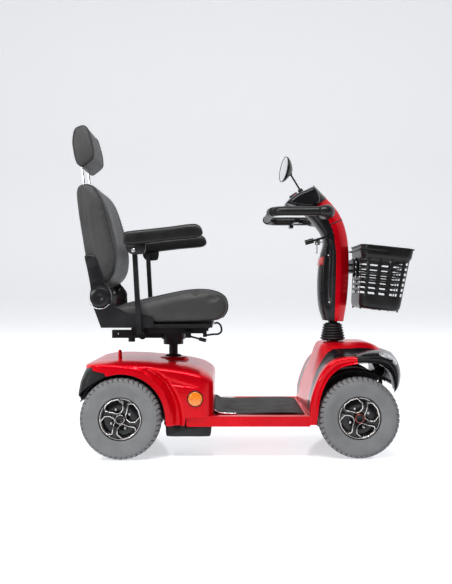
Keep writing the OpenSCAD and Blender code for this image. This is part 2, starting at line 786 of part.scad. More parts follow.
// Stem in the column bearing, with the pitman arm below and the tilt fork on top
module steering_stem() {
    color("#303236") union() {
        translate([column_x, 0, arm_z - 4]) cylinder(r = stem_d / 2, h = tilt_z - 24 - arm_z + 6);
        box([column_x - steer_arm, -10, arm_z - 4], [column_x, 10, arm_z + arm_t]);
        translate([column_x - steer_arm, 0, arm_z - 4]) cylinder(r = 10, h = arm_t + 4);
        translate([column_x - steer_arm, 0, arm_z]) cylinder(d = rod_pin_d, h = arm_t + 22);
        translate([column_x, 0, bearing_top + soft_gap]) cylinder(r = 26, h = tilt_z - 18 - bearing_top - soft_gap);
        // Fork and tilt pin
        both_sides()
            box([column_x - 14, 18, tilt_z - 20], [column_x + 14, 25, tilt_z + 14]);
        translate([column_x, 0, tilt_z]) bar_y(tilt_pin_d / 2, -25, 25);
    }
}

// Bellows round the tilt pivot, on a flange that lies on the shroud
module boot() {
    rings = 6;
    z0 = shroud_top + soft_gap;
    pitch = (tilt_z + 41 - z0) / rings;
    outer = [for (i = [0 : rings - 1]) each [[55 - i * 3 - 6, (i + 0.15) * pitch], [55 - i * 3, (i + 0.5) * pitch],
                                            [55 - i * 3 - 6, (i + 0.85) * pitch]]];
    color("#1b1b1c") translate([column_x, 0, z0]) rotate_extrude()
        polygon(concat([[31, 0], [58, 0]], outer, [[31, rings * pitch]]));
}

// ---- Tiller ----

// Front and rear outlines of the tiller in side view, from its foot up
tiller_front = [
    [column_x + 46, tilt_z + 45], [column_x + 61, tilt_z + 135], [column_x + 70, tilt_z + 212],
    [column_x + 72, tilt_z + 331], [column_x + 68, tilt_z + 382], [column_x + 57, tilt_z + 458],
    [column_x + 36, tilt_z + 514], [column_x - 3, tilt_z + 565], [column_x - 45, tilt_z + 607],
    [column_x - 87, tilt_z + 652]];
tiller_rear = [
    [column_x - 102, tilt_z + 501], [column_x - 70, tilt_z + 482], [column_x - 38, tilt_z + 456],
    [column_x - 36, tilt_z + 382], [column_x - 53, tilt_z + 327], [column_x - 60, tilt_z + 254],
    [column_x - 62, tilt_z + 170], [column_x - 60, tilt_z + 115], [column_x - 44, tilt_z + 51]];

// Line between the red front cover and the dark side covers, moved forwards by g
function tiller_split(g) = [
    [column_x - 110 + g, tilt_z + 604], [column_x - 75 + g, tilt_z + 582], [column_x - 25 + g, tilt_z + 538],
    [column_x + 8 + g, tilt_z + 492], [column_x + 26 + g, tilt_z + 440], [column_x + 36 + g, tilt_z + 380],
    [column_x + 38 + g, tilt_z + 330], [column_x + 36 + g, tilt_z + 212], [column_x + 26 + g, tilt_z + 135],
    [column_x + 10 + g, tilt_z + 45]];

tube = 36;           // side of the square tiller tube
module tube_side(i) {
    h = tube / 2 + i;
    polygon([[column_x - h, tilt_z + 28], [column_x + h, tilt_z + 28], [column_x + h + 2, tilt_z + 300],
             [column_x - 4 + h, tilt_z + 420], [column_x - 64 + h, tilt_z + 520 + i],
             [column_x - 64 - h, tilt_z + 520 + i], [column_x - 4 - h, tilt_z + 400],
             [column_x + 2 - h, tilt_z + 300]]);
}

module tiller_frame() {
    color("#303236") {
        difference() {
            union() {
                difference() {
                    across(tube) tube_side(0);
                    across(tube - 2 * tube_wall) tube_side(-tube_wall);
                }
                // Lug on the tilt pin
                translate([column_x, 0, tilt_z]) bar_y(13, -17.5, 17.5);
                box([column_x - 13, -17.5, tilt_z], [column_x + 13, 17.5, tilt_z + 44]);
                // Arms and plate that carry the basket
                both_sides() for (z = [hanger_z - 54, hanger_z - 28])
                    box([column_x, 6, z], [hanger_x + 4, 16, z + 10]);
                box([hanger_x, -62, hanger_z - 60], [hanger_x + 8, 62, hanger_z]);
                // Pin of the tilt lever
                translate([tilt_lever_x, 0, tilt_lever_z]) bar_y(5, -tiller_w / 2 - 14, 0);
                // Cross tube that the handlebar ends push on to
                translate([bar_front_x, 0, loop_z]) bar_y(bar_d / 2 - tube_wall - fit, -tiller_w / 2 - 14, tiller_w / 2 + 14);
            }
            translate([column_x, 0, tilt_z]) bar_y(tilt_pin_d / 2 + fit, -40, 40);
        }
    }
}

// Holes that the side and front covers leave for the tiller's tubes
module tiller_cuts() {
    translate([bar_front_x, 0, loop_z]) bar_y(bar_d / 2 + soft_gap, -200, 200);
    both_sides() for (z = [hanger_z - 54, hanger_z - 28])
        box([column_x, 6 - soft_gap, z - soft_gap], [basket_rear_x, 16 + soft_gap, z + 10 + soft_gap]);
    translate([tilt_lever_x, 0, tilt_lever_z]) bar_y(5 + soft_gap, -200, 0);
}

module tiller_cover() {
    color("#b80718") difference() {
        across(tiller_w - 10) polygon(concat(tiller_front, tiller_split(split_gap)));
        across(tiller_w - 18) polygon(concat(
            [for (p = tiller_front) p - [4, 4]], [for (p = tiller_split(-8)) p - [0, 4]]));
        across(tube + 2 * soft_gap) tube_side(soft_gap);
        tiller_cuts();
    }
}

module tiller_sides() {
    cut_z = console_z + 20;
    color("#151516") difference() {
        across(tiller_w) polygon(concat(
            [for (p = tiller_split(0)) if (p[1] < cut_z) p],
            [for (i = [len(tiller_rear) - 1 : -1 : 0]) tiller_rear[i]]));
        across(tiller_w - 2 * wall) polygon(concat(
            [for (p = tiller_split(1)) if (p[1] < cut_z) p + [0, 2]],
            [for (i = [len(tiller_rear) - 1 : -1 : 0]) tiller_rear[i] + [wall, -2]]));
        across(tube + 2 * soft_gap) tube_side(soft_gap);
        tiller_cuts();
        translate([0, key_y, key_z]) bar_x(3 + fit, key_x - 20, key_x + 40);
    }
    // Key switch behind the rear wall, and the small rear reflector
    color("#151516") translate([0, key_y, key_z]) difference() {
        bar_x(11, key_x - 10, key_x - 0.1);
        bar_x(3 + fit, key_x - 20, key_x + 40);
    }
}

// Places children on the console's sloping face, y to the side, Z along its normal
module on_panel(y) {
    translate([panel_x, y, panel_z]) rotate([0, -panel_tilt, 0]) children();
}

module console() {
    color("#1d1d1f") {
        difference() {
            union() {
                across(console_w) polygon([
                    [column_x - 211, console_z + 15], [column_x - 186, console_z + 33], [column_x - 155, console_z + 52],
                    [column_x - 124, console_z + 64], [column_x - 104, console_z + 72],
                    [column_x - 110.5, console_z + 46], [column_x - 75.5, console_z + 24],
                    [column_x - 26, console_z - 19.5], [column_x - 102, tilt_z + 502],
                    [column_x - 160, loop_z + 8], [column_x - 196, console_z - 10]]);
                both_sides() translate([mirror_x, mirror_y, console_z])
                    cylinder(r = 12, h = mirror_boss_top - console_z);
                translate([wag_x, 0, wag_z - 12]) cylinder(r = 6, h = 60);
            }
            across(tube + 2 * soft_gap) tube_side(soft_gap);
            tiller_cuts();
            both_sides() translate([mirror_x, mirror_y, mirror_boss_top - 14]) cylinder(d = thread_d, h = 20);
            for (y = [-button_y, button_y]) on_panel(y)
                translate([0, 0, -10]) cylinder(r = button_d / 2 + fit, h = 20);
            on_panel(0) translate([0, 0, -14]) cylinder(r = dial_shaft_d / 2 + fit, h = 30);
        }
    }
}

module speed_dial() {
    color("#3c3e41") on_panel(0) {
        translate([0, 0, -12]) cylinder(d = dial_shaft_d, h = 14);
        translate([0, 0, 0.4]) cylinder(r1 = 21, r2 = 19, h = 11);
        box([5, -2, 11], [17, 2, 13]);
    }
}

module panel_button(y) {
    on_panel(y) translate([0, 0, -7]) cylinder(d = button_d, h = 10);
}
module horn_button() { color("#c23a1e") panel_button(-button_y); }
module lamp_button() { color("#d9b23a") panel_button(button_y); }

// Loop of round bar whose ends lie on the tiller's cross tube
module loop_bar(r) {
    half = loop_w / 2;
    c = loop_corner;
    translate([0, 0, loop_z]) {
        translate([grip_x, 0, 0]) bar_y(r, c - half, half - c);
        both_sides() {
            translate([grip_x + c, half - c, 0]) rotate([0, 0, 90])
                rotate_extrude(angle = 90) translate([c, 0]) circle(r = r);
            translate([0, half, 0]) bar_x(r, grip_x + c, bar_front_x - c);
            translate([bar_front_x - c, half - c, 0])
                rotate_extrude(angle = 90) translate([c, 0]) circle(r = r);
            translate([bar_front_x, 0, 0]) bar_y(r, tiller_w / 2 - 30, half - c);
        }
    }
}

module handlebar() {
    color("#1a1a1b") difference() {
        loop_bar(bar_d / 2);
        loop_bar(bar_d / 2 - tube_wall);
        translate([bar_front_x, 0, loop_z]) bar_y(bar_d / 2 - tube_wall, -tiller_w / 2, tiller_w / 2);
    }
}

module grips() {
    mid = (grip_x + bar_front_x) / 2;
    color("#2a2a2b") both_sides() translate([0, loop_w / 2, loop_z]) difference() {
        bar_x(bar_d / 2 + grip_t, mid - grip_l / 2 + 1, mid + grip_l / 2 - 1);
        bar_x(bar_d / 2 + fit, mid - grip_l, mid + grip_l);
    }
}

// Paddle with a finger plate under each hand
module wig_wag() {
    color("#1e1e1f") difference() {
        union() {
            translate([wag_x, 0, wag_z - 8]) cylinder(r = 14, h = 16);
            both_sides() {
                box([wag_x - 30, 0, wag_z - 8], [wag_x - 20, 150, wag_z]);
                box([wag_x - 34, 104, wag_z - 18], [wag_x - 16, 160, wag_z]);
            }
            box([wag_x - 30, -12, wag_z - 8], [wag_x, 12, wag_z]);
        }
        translate([wag_x, 0, wag_z - 20]) cylinder(r = 6 + fit, h = 40);
    }
}

head_x = mirror_x - 70;
head_z = mirror_boss_top + 120;
neck_x = mirror_x - 46;
neck_z = mirror_boss_top + 88;

module mirror_stem() {
    color("#1c1c1d") {
        translate([mirror_x, mirror_y, mirror_boss_top - 12]) cylinder(r = thread_d / 2 - fit, h = 14);
        translate([mirror_x, mirror_y, mirror_boss_top + soft_gap]) cylinder(r = 10, h = 6);
        translate([mirror_x, mirror_y, mirror_boss_top + 12]) sphere(r = 12);
        rod([mirror_x, mirror_y, mirror_boss_top + 12], [neck_x, mirror_y, neck_z], 4);
        translate([neck_x, mirror_y, neck_z]) bar_y(7, -7, 7);
        translate([neck_x, mirror_y, neck_z]) bar_y(4, -12, 12);
    }
}

module mirror_head() {
    color("#1c1c1d") difference() {
        union() {
            translate([head_x, mirror_y, head_z]) rotate([0, -90 + 11, 0]) {
                translate([0, 0, 2]) cylinder(d = mirror_d, h = 10);
                translate([0, 0, -26]) cylinder(r1 = 12, r2 = mirror_d / 2, h = 28);
            }
            box([neck_x - 22, mirror_y - 12, neck_z - 6], [neck_x, mirror_y + 12, neck_z + 6]);
            translate([neck_x, mirror_y, neck_z]) bar_y(6, -12, 12);
        }
        // Slot round the stem's hinge barrel, and the pin's bore
        box([neck_x - 8, mirror_y - 7.3, neck_z - 40], [neck_x + 60, mirror_y + 7.3, neck_z + 8]);
        translate([neck_x, mirror_y, neck_z]) bar_y(4 + fit, -20, 20);
    }
    color("#b9c4cc") translate([head_x, mirror_y, head_z]) rotate([0, -90 + 11, 0])
        translate([0, 0, 12]) cylinder(d = mirror_d - 8, h = 2.5);
}

module key() {
    color("#c9cdd1") {
        translate([0, key_y, key_z]) bar_x(3, key_x - 24, key_x + 14);
        difference() {
            translate([0, key_y, key_z]) box([key_x - 44, -1.5, -12], [key_x - 22, 1.5, 12]);
            translate([key_x - 36, 0, key_z - 6]) bar_y(3.5, key_y - 4, key_y + 4);
        }
        translate([key_x - 36, key_y, key_z - 29]) rotate([0, 0, 90]) rotate([90, 0, 0])
            rotate_extrude() translate([22, 0]) circle(r = 1.5, $fn = 16);
    }
}

module tilt_lever() {
    y = -tiller_w / 2 - 8;
    color("#2a2b2d") difference() {
        union() {
            translate([tilt_lever_x, 0, tilt_lever_z]) bar_y(14, y - 5, y + 5);
            rod([tilt_lever_x - 10, y, tilt_lever_z - 2], [tilt_lever_x - 90, y, tilt_lever_z - 24], 5);
            rod([tilt_lever_x - 74, y, tilt_lever_z - 19.6], [tilt_lever_x - 110, y, tilt_lever_z - 29.5], 11);
        }
        translate([tilt_lever_x, 0, tilt_lever_z]) bar_y(5 + fit, y - 20, y + 20);
    }
}

// ---- Basket ----

nose_down = 6;
bail_x = 105;
bail_z = -20;

// Block between the basket's walls, drawn in by i
module basket_block(i, top) {
    h = basket_h - i;
    intersection() {
        across(2 * basket_w) polygon([[i, top], [basket_l - i, top], [basket_l - 23 - i, -h], [i, -h]]);
        rotate([90, 0, 90]) linear_extrude(basket_l) polygon([
            [i - basket_w / 2, top], [basket_w / 2 - i, top],
            [basket_w / 2 - basket_taper - i, -h], [basket_taper + i - basket_w / 2, -h]]);
    }
}

module in_basket() {
    translate([basket_rear_x, 0, basket_top]) rotate([0, nose_down, 0]) children();
}

module basket() {
    skin = 3;
    rows = floor((basket_h - 138) / slot_pitch);
    color("#161617") {
        in_basket() {
            difference() {
                basket_block(0, 0);
                basket_block(skin, 1);
                // Ventilation slots through the sides and through the front
                for (k = [0 : rows]) {
                    z = -54 - k * slot_pitch - slot_h;
                    for (i = [0 : 3])
                        box([14 + i * 46, -basket_w, z], [14 + i * 46 + 38, basket_w, z + slot_h]);
                    for (i = [-2 : 1])
                        box([basket_l / 2, i * 56 + 5, z], [basket_l + 10, i * 56 + 51, z + slot_h]);
                }
            }
            // Pivots of the carrying handle
            both_sides() translate([bail_x, 0, bail_z]) bar_y(3.5, basket_w / 2 - 4, basket_w / 2 + 9);
        }
        // Hook that drops over the hanger plate
        difference() {
            union() {
                box([hanger_x - 6.3, -40, hanger_z - 14], [hanger_x - soft_gap, 40, hanger_z + 8]);
                box([hanger_x - 6.3, -40, hanger_z + soft_gap], [basket_rear_x, 40, hanger_z + 8]);
            }
            in_basket() translate([0.5, 0, 0]) basket_block(0, 1);
        }
    }
}

module basket_handle() {
    y = basket_w / 2 + 4;
    color("#242526") in_basket() translate([bail_x, 0, bail_z]) difference() {
        union() {
            both_sides() {
                bar_y(7, y - 3.4, y + 3.4);
                rod([0, y, 0], [-bail_x - 10, y, 0], 3);
                translate([-bail_x - 10, y, -3]) cylinder(r = 3.6, h = 6);
            }
            translate([-bail_x - 10, 0, 0]) bar_y(3, -y, y);
        }
        bar_y(3.5 + fit, -y - 10, y + 10);
    }
}

// ---- Seat ----

module seat_post() {
    color("#b9bcc0") {
        translate([post_x, 0, rear_rail_z + 30]) cylinder(d = post_d, h = seat_base_z - 40 - rear_rail_z - 30);
        translate([post_x, 0, seat_base_z - 53]) cylinder(r = 44, h = 22);
        translate([post_x, 0, seat_base_z - 31]) cylinder(r = 18, h = 31 + 8);
    }
}

module seat_base() {
    color("#1d1e20") difference() {
        union() {
            translate([post_x, 0, seat_base_z - 31 + soft_gap]) cylinder(r = 52, h = 31);
            box([post_x - 142, -120, seat_base_z], [post_x + 138, 120, seat_base_z + base_t]);
            both_sides()
                box([post_x - 172, 100, seat_base_z + base_t - 2], [post_x + 158, 120, seat_base_z + base_t + rail_seat_h]);
            // Receiver bar for a rear accessory
            difference() {
                box([post_x - 270, -17.5, seat_base_z - 26], [post_x - 50, 17.5, seat_base_z + 9]);
                box([post_x - 271, -13.5, seat_base_z - 22], [post_x - 160, 13.5, seat_base_z + 5]);
                translate([post_x - 245, 0, seat_base_z - 8.5]) bar_y(4.2, -30, 30);
            }
            // Clamp knobs
            translate([post_x - 185, 0, seat_base_z - 43]) cylinder(r = 15, h = 18);
            translate([post_x - 130, 0, seat_base_z - 12]) bar_y(9, -60, -16);
            translate([post_x - 130, 0, seat_base_z - 12]) bar_y(17, -72, -58);
            // Ears that carry the swivel lever
            for (y = [-140, -118])
                box([post_x + 60, y, seat_base_z - 18], [post_x + 84, y + 6, seat_base_z + base_t]);
            box([post_x + 60, -140, seat_base_z + 4], [post_x + 84, -112, seat_base_z + base_t]);
            translate([post_x + 72, 0, seat_base_z - 10]) bar_y(4, -140, -112);
        }
        translate([post_x, 0, seat_base_z - 60]) cylinder(r = 18 + fit, h = 68 + soft_gap);
        translate([post_x, 0, seat_base_z - 60]) cylinder(r = 44.5, h = 29);
    }
}

module swivel_lever() {
    x = post_x + 72;
    z = seat_base_z - 10;
    color("#1b1b1c") difference() {
        union() {
            translate([x, 0, z]) bar_y(7, -133.6, -118.4);
            rod([x, -125, z], [x + 72, -143, z - 18], 4);
            rod([x + 48, -137, z - 12], [x + 76, -144, z - 19], 8);
        }
        translate([x, 0, z]) bar_y(4 + fit, -160, -100);
    }
}

// Seat pan with its runners, hinge plates, armrest sleeves and the slide bar's ears
module seat_frame() {
    sleeve = arm_tube / 2 + 4;
    sleeve_z = pan_z - sleeve;
    under = pan_z + pan_t - 2;
    color("#202123") difference() {
        union() {
            // Pressed pan, open below
            difference() {
                box([post_x - 250, -plate_y, pan_z], [post_x + 176, plate_y, pan_z + pan_t]);
                box([post_x - 247, 3 - plate_y, pan_z - 1], [post_x + 173, plate_y - 3, under - 1]);
            }
            both_sides() {
                box([post_x - 120, 98, seat_base_z + base_t + rail_seat_h + soft_gap], [post_x + 120, 122, under]);
                // Plate up to the recline hinge
                side_slab(plate_y, plate_y + plate_t) polygon(concat(
                    [[recline_x + 2, pan_z], [post_x - 62, pan_z], [post_x - 66, pan_z + 38],
                     [post_x - 115, pan_z + 52], [post_x - 163, pan_z + 56], [recline_x + 45, pan_z + 95]],
                    arc(recline_x, recline_z, 44, -10, 190, 12)));
                translate([recline_x, 0, recline_z]) bar_y(10, hinge_in - 6, plate_y + 1);
                box([arm_x - sleeve, 130, sleeve_z - sleeve], [arm_x + sleeve, plate_y - 2, under]);
            }
            // Ears of the slide bar
            for (y = [slide_bar_y - 10, slide_bar_y + 4])
                box([post_x + 136, y, pan_z - 42], [post_x + 152, y + 6, under]);
            translate([post_x + 144, 0, pan_z - 36]) bar_y(4, slide_bar_y - 10, slide_bar_y + 10);
        }
        both_sides() box([arm_x - arm_tube / 2 - fit, 120, sleeve_z - arm_tube / 2 - fit],
                         [arm_x + arm_tube / 2 + fit, plate_y + 10, sleeve_z + arm_tube / 2 + fit]);
    }
}

module slide_bar() {
    x = post_x + 144;
    y = slide_bar_y;
    color("#c4c7ca") difference() {
        union() {
            translate([x, 0, pan_z - 36]) bar_y(7, y - 3.6, y + 3.6);
            rod_path([[x, y, pan_z - 36], [x + 66, y, pan_z - 27], [x + 69, y, pan_z - 6],
                      [x + 56, y, pan_z + 15], [x + 40, y, pan_z + 11]], 4);
        }
        translate([x, 0, pan_z - 36]) bar_y(4 + fit, y - 20, y + 20);
    }
}

module seat_cushion() {
    x0 = post_x - 240;
    color("#4a4b4d") difference() {
        across(seat_w) polygon(concat(
            [[x0 + 12, cushion_z], [post_x + 200, cushion_z + 3], [post_x + 232, cushion_z + 20]],
            arc(post_x + 176, cushion_z + 72, 70, -25, 75, 6),
            [[post_x + 117, cushion_z + 146], [post_x + 58, cushion_z + 139], [post_x - 22, cushion_z + 123],
             [post_x - 112, cushion_z + 105], [x0 + 48, cushion_z + 87], [x0 + 8, cushion_z + 74], [x0, cushion_z + 40]]));
        // Room for the slide bar's tip
        box([post_x + 140, slide_bar_y - 8, cushion_z - 10], [post_x + 240, slide_bar_y + 8, cushion_z + 16]);
    }
}

// ---- Backrest ----

// Rear outline of the backrest, moved forwards by i
function back_rear(i) = [
    [recline_x - 37 + i, recline_z + 28], [recline_x - 46 + i, recline_z + 88], [recline_x - 70 + i, recline_z + 168],
    [recline_x - 82 + i, recline_z + 241], [recline_x - 100 + i, recline_z + 362], [recline_x - 106 + i, recline_z + 444],
    [recline_x - 96 + i, recline_z + 462]];

module back_frame() {
    posts_y = headrest_post_gap / 2;
    color("#1e1f21") difference() {
        union() {
            across(back_w) polygon(concat(back_rear(0), [for (i = [6 : -1 : 0]) back_rear(22)[i]]));
            both_sides() side_slab(hinge_in, hinge_in + hinge_t) polygon(concat(
                arc(recline_x, recline_z, 42, 180, 360, 10),
                [[recline_x + 30, recline_z + 60], [recline_x - 20, recline_z + 168],
                 [recline_x - 60, recline_z + 168], [recline_x - 46, recline_z + 88]]));
            both_sides() box([recline_x - 40, back_w / 2 - 4, recline_z + 60],
                             [recline_x - 24, hinge_in + 2, recline_z + 150]);
            // Sleeves of the headrest posts
            both_sides() headrest_line(posts_y, -90) cylinder(r = headrest_post_d / 2 + 5, h = 90);
        }
        both_sides() translate([recline_x, 0, recline_z]) bar_y(10 + fit, hinge_in - 10, plate_y);
        both_sides() headrest_line(posts_y, -95) cylinder(r = headrest_post_d / 2 + fit, h = 120);
    }
}

// Axis of a headrest post, leaning back, from a height below the backrest's top
headrest_lean = 7.6;
headrest_foot = [recline_x - 98, recline_z + 470];
module headrest_line(y, from) {
    translate([headrest_foot[0], y, headrest_foot[1]]) rotate([0, -headrest_lean, 0])
        translate([0, 0, from]) children();
}

module headrest_posts() {
    color("#d5d8db") both_sides() headrest_line(headrest_post_gap / 2, -60)
        cylinder(d = headrest_post_d, h = 200);
}

module headrest() {
    f = headrest_foot;
    color("#3f4042") difference() {
        across(headrest_w) polygon([for (p = [
            [-45, 195], [-41, 157], [-29, 101], [-14, 82], [4, 80], [46, 112], [51, 135], [43, 178],
            [26, 240], [8, 262], [-17, 256], [-36, 244]]) f + p]);
        both_sides() headrest_line(headrest_post_gap / 2, 50)
            cylinder(r = headrest_post_d / 2 + soft_gap, h = 91);
    }
}

module back_cushion() {
    g = 22 + soft_gap;
    color("#48494b") difference() {
        across(back_w - 8) polygon(concat(
            [back_rear(g)[0] + [0, 2], [recline_x + 24, recline_z + 59], [recline_x + 63, recline_z + 101],
             [recline_x + 69, recline_z + 150], [recline_x + 54, recline_z + 229], [recline_x + 30, recline_z + 313],
             [recline_x - 6, recline_z + 435], [recline_x - 22, recline_z + 466], [recline_x - 50, recline_z + 474]],
            [for (i = [6 : -1 : 1]) back_rear(g)[i]]));
        both_sides() headrest_line(headrest_post_gap / 2, -100) cylinder(r = headrest_post_d / 2 + 5.4, h = 130);
    }
}

// ---- Armrests ----

module armrest_arm(side) {
    h = arm_tube / 2;
    z = pan_z - h - 4;   // middle of the sleeve
    color("#1e1f20") on_side(side) difference() {
        union() {
            box([arm_x - h, 140, z - h], [arm_x + h, arm_y + arm_tube, z + h]);
            side_slab(arm_y, arm_y + arm_tube) polygon([
                [arm_x - h, z - h], [arm_x + h, z - h], [arm_pivot_x + h, arm_pivot_z], [arm_pivot_x - h, arm_pivot_z]]);
            translate([arm_pivot_x, 0, arm_pivot_z]) bar_y(h, arm_y, arm_y + arm_tube);
            translate([arm_pivot_x, 0, arm_pivot_z]) bar_y(5, arm_y, arm_y + arm_tube + 12);
        }
    }
}

module armrest_pad(side) {
    x0 = arm_pivot_x - 43;
    x1 = arm_pivot_x + 281;
    color("#29292a") on_side(side) difference() {
        union() {
            side_slab(pad_y, pad_y + arm_pad_w) polygon(concat(
                [[x0, arm_pivot_z + 22], [x0 + 30, arm_pivot_z + 18], [x1 - 40, arm_pivot_z + 45]],
                arc(x1 - 30, arm_pivot_z + 78, 30, -60, 80, 5),
                [[x0 + 10, arm_pivot_z + 76], [x0, arm_pivot_z + 66]]));
            side_slab(pad_y, pad_y + 6) polygon(concat(
                arc(arm_pivot_x, arm_pivot_z, 13, 180, 360, 8),
                [[arm_pivot_x + 60, arm_pivot_z + 40], [arm_pivot_x - 20, arm_pivot_z + 40]]));
        }
        translate([arm_pivot_x, 0, arm_pivot_z]) bar_y(5 + fit, pad_y - 10, pad_y + 20);
    }
}

module knuckle_left() knuckle(1);
module knuckle_right() knuckle(-1);
module tie_rod_left() tie_rod(1);
module tie_rod_right() tie_rod(-1);
module armrest_arm_left() armrest_arm(1);
module armrest_arm_right() armrest_arm(-1);
module armrest_pad_left() armrest_pad(1);
module armrest_pad_right() armrest_pad(-1);

// Lever that frees the drive for pushing, on a pin inside the rear body
module freewheel_lever() {
    x = rear_x - 22;
    color("#c81020") translate([x, -150, body_top - 22]) {
        difference() {
            union() {
                bar_y(8, -3.5, 3.5);
                cylinder(r = 3.4, h = 46);
            }
            bar_y(4 + fit, -10, 10);
        }
        translate([0, 0, 42]) cylinder(r = 9, h = 9);
    }
}

chassis_frame();
deck_shell();
deck_mat();
rear_body();
rear_bumper();
front_shroud();
front_bumper();
front_liner();
headlamp();
reflectors();
battery_box();
batteries();
transaxle();
rear_tyre_left();
rear_tyre_right();
front_tyre_left();
front_tyre_right();
rear_rim_left();
rear_rim_right();
front_rim_left();
front_rim_right();
anti_tip_wheel_left();
anti_tip_wheel_right();
knuckle_left();
knuckle_right();
tie_rod_left();
tie_rod_right();
steering_stem();
boot();
tiller_frame();
tiller_cover();
tiller_sides();
console();
handlebar();
grips();
wig_wag();
mirror_stem();
mirror_head();
key();
tilt_lever();
speed_dial();
horn_button();
lamp_button();
basket();
basket_handle();
seat_post();
seat_base();
seat_frame();
seat_cushion();
back_frame();
back_cushion();
headrest();
headrest_posts();
armrest_arm_left();
armrest_arm_right();
armrest_pad_left();
armrest_pad_right();
swivel_lever();
slide_bar();
freewheel_lever();
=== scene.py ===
import bmesh
import bpy
import numpy as np
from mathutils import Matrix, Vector
from mathutils.bvhtree import BVHTree


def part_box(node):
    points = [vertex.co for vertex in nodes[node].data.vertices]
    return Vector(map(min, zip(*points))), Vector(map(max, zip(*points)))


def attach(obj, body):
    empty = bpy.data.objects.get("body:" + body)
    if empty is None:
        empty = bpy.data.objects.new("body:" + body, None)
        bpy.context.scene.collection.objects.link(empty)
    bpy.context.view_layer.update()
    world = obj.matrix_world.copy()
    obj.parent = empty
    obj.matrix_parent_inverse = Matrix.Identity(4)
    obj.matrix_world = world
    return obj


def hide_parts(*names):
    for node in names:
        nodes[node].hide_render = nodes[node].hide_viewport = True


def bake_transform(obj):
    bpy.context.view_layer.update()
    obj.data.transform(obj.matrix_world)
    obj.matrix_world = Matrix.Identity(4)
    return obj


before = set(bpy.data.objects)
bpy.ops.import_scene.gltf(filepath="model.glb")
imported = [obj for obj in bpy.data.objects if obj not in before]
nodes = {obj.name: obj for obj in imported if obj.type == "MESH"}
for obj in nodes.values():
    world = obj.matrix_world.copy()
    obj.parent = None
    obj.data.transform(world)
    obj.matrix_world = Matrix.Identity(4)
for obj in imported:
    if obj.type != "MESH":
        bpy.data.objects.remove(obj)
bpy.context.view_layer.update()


# ---- Welded chassis, steering links and seat steelwork ----
# Round and square steel tube, welded and then powder coated satin black. The column, knuckles and
# tie rods bolt to it, and the seat post stands in its socket. The coat has a slight orange peel.

class Number:
    """A number inside a material: arithmetic on it adds Math nodes to that material."""

    def __init__(self, finish, socket):
        self.finish = finish
        self.socket = socket

    def calculate(self, operation, a, b):
        return self.finish.node("ShaderNodeMath", {"operation": operation}, {0: a, 1: b})

    def __add__(self, other):
        return self.calculate("ADD", self, other)

    def __rsub__(self, other):
        return self.calculate("SUBTRACT", other, self)

    def __mul__(self, other):
        return self.calculate("MULTIPLY", self, other)

    def __gt__(self, other):
        return self.calculate("GREATER_THAN", self, other)

    __radd__ = __add__
    __rmul__ = __mul__


class Finish:
    """One procedural material; node() adds a node and gives back one of its outputs."""

    def __init__(self, name, colour, roughness, metallic=0.0, coat=0.0, coat_roughness=0.03):
        self.material = bpy.data.materials.new(name)
        self.material.use_nodes = True
        self.tree = self.material.node_tree
        self.shader = self.tree.nodes["Principled BSDF"]
        self.place = self.node("ShaderNodeTexCoord", {}, {}, "Object")
        self.set({"Base Color": (*colour, 1), "Roughness": roughness, "Metallic": metallic,
                  "Coat Weight": coat, "Coat Roughness": coat_roughness, "Specular IOR Level": 0.30})

    def feed(self, node, sockets):
        for key, value in sockets.items():
            if isinstance(value, Number):
                self.tree.links.new(value.socket, node.inputs[key])
            else:
                node.inputs[key].default_value = value

    def node(self, kind, settings, sockets, output=0):
        node = self.tree.nodes.new(kind)
        for key, value in settings.items():
            setattr(node, key, value)
        self.feed(node, sockets)
        return Number(self, node.outputs[output])

    def set(self, sockets):
        self.feed(self.shader, sockets)
        return self

    def noise(self, scale, detail=3.0, stretch=(1, 1, 1)):
        """Soft noise from 0 to 1 with scale cells a metre, stretched along each axis."""
        place = self.node("ShaderNodeMapping", {}, {"Vector": self.place, "Scale": stretch})
        return self.node("ShaderNodeTexNoise", {}, {"Vector": place, "Scale": scale, "Detail": detail})

    def cells(self, scale, feature="F1"):
        """Distance from the nearest point, or edge, of a scatter with scale cells a metre."""
        return self.node("ShaderNodeTexVoronoi", {"feature": feature},
                         {"Vector": self.place, "Scale": scale}, "Distance")

    def band(self, value, low, high, start=0.0, end=1.0):
        """start below low, end above high, and an even change between them."""
        return self.node("ShaderNodeMapRange", {},
                         {"Value": value, 1: low, 2: high, 3: start, 4: end})

    def attribute(self, name):
        return self.node("ShaderNodeAttribute", {"attribute_name": name}, {}, "Fac")

    def mix(self, factor, colour_a, colour_b):
        parts = {}
        for key, colour in ((6, colour_a), (7, colour_b)):
            parts[key] = colour if isinstance(colour, Number) else (*colour, 1)
        return self.node("ShaderNodeMix", {"data_type": "RGBA"}, {0: factor, **parts}, 2)

    def bump(self, height, strength, distance):
        normal = self.node("ShaderNodeBump", {},
                           {"Height": height, "Strength": strength, "Distance": distance})
        return self.set({"Normal": normal})


def powder_coat(name, colour, roughness):
    """Satin paint with orange peel, a little duller and greyer where dust has settled."""
    finish = Finish(name, colour, roughness)
    dust = finish.noise(9, 5)
    pale = tuple(1.6 * c + 0.003 for c in colour)
    finish.set({"Base Color": finish.mix(finish.band(dust, 0.45, 0.75), colour, pale),
                "Roughness": finish.band(dust, 0.3, 0.8, roughness - 0.05, roughness + 0.13)})
    return finish.bump(finish.noise(900, 1), 0.12, 0.0006)


def metal(name, colour, roughness, grain=1.0):
    """Bare or plated metal with fine drawn lines and cloudy roughness."""
    finish = Finish(name, colour, roughness, metallic=1.0)
    cloud = finish.noise(60, 4)
    finish.set({"Roughness": finish.band(cloud, 0.3, 0.7, roughness * 0.75, roughness * 1.35)})
    return finish.bump(finish.noise(700, 2, (1, 1, 0.06)), 0.08 * grain, 0.0004)


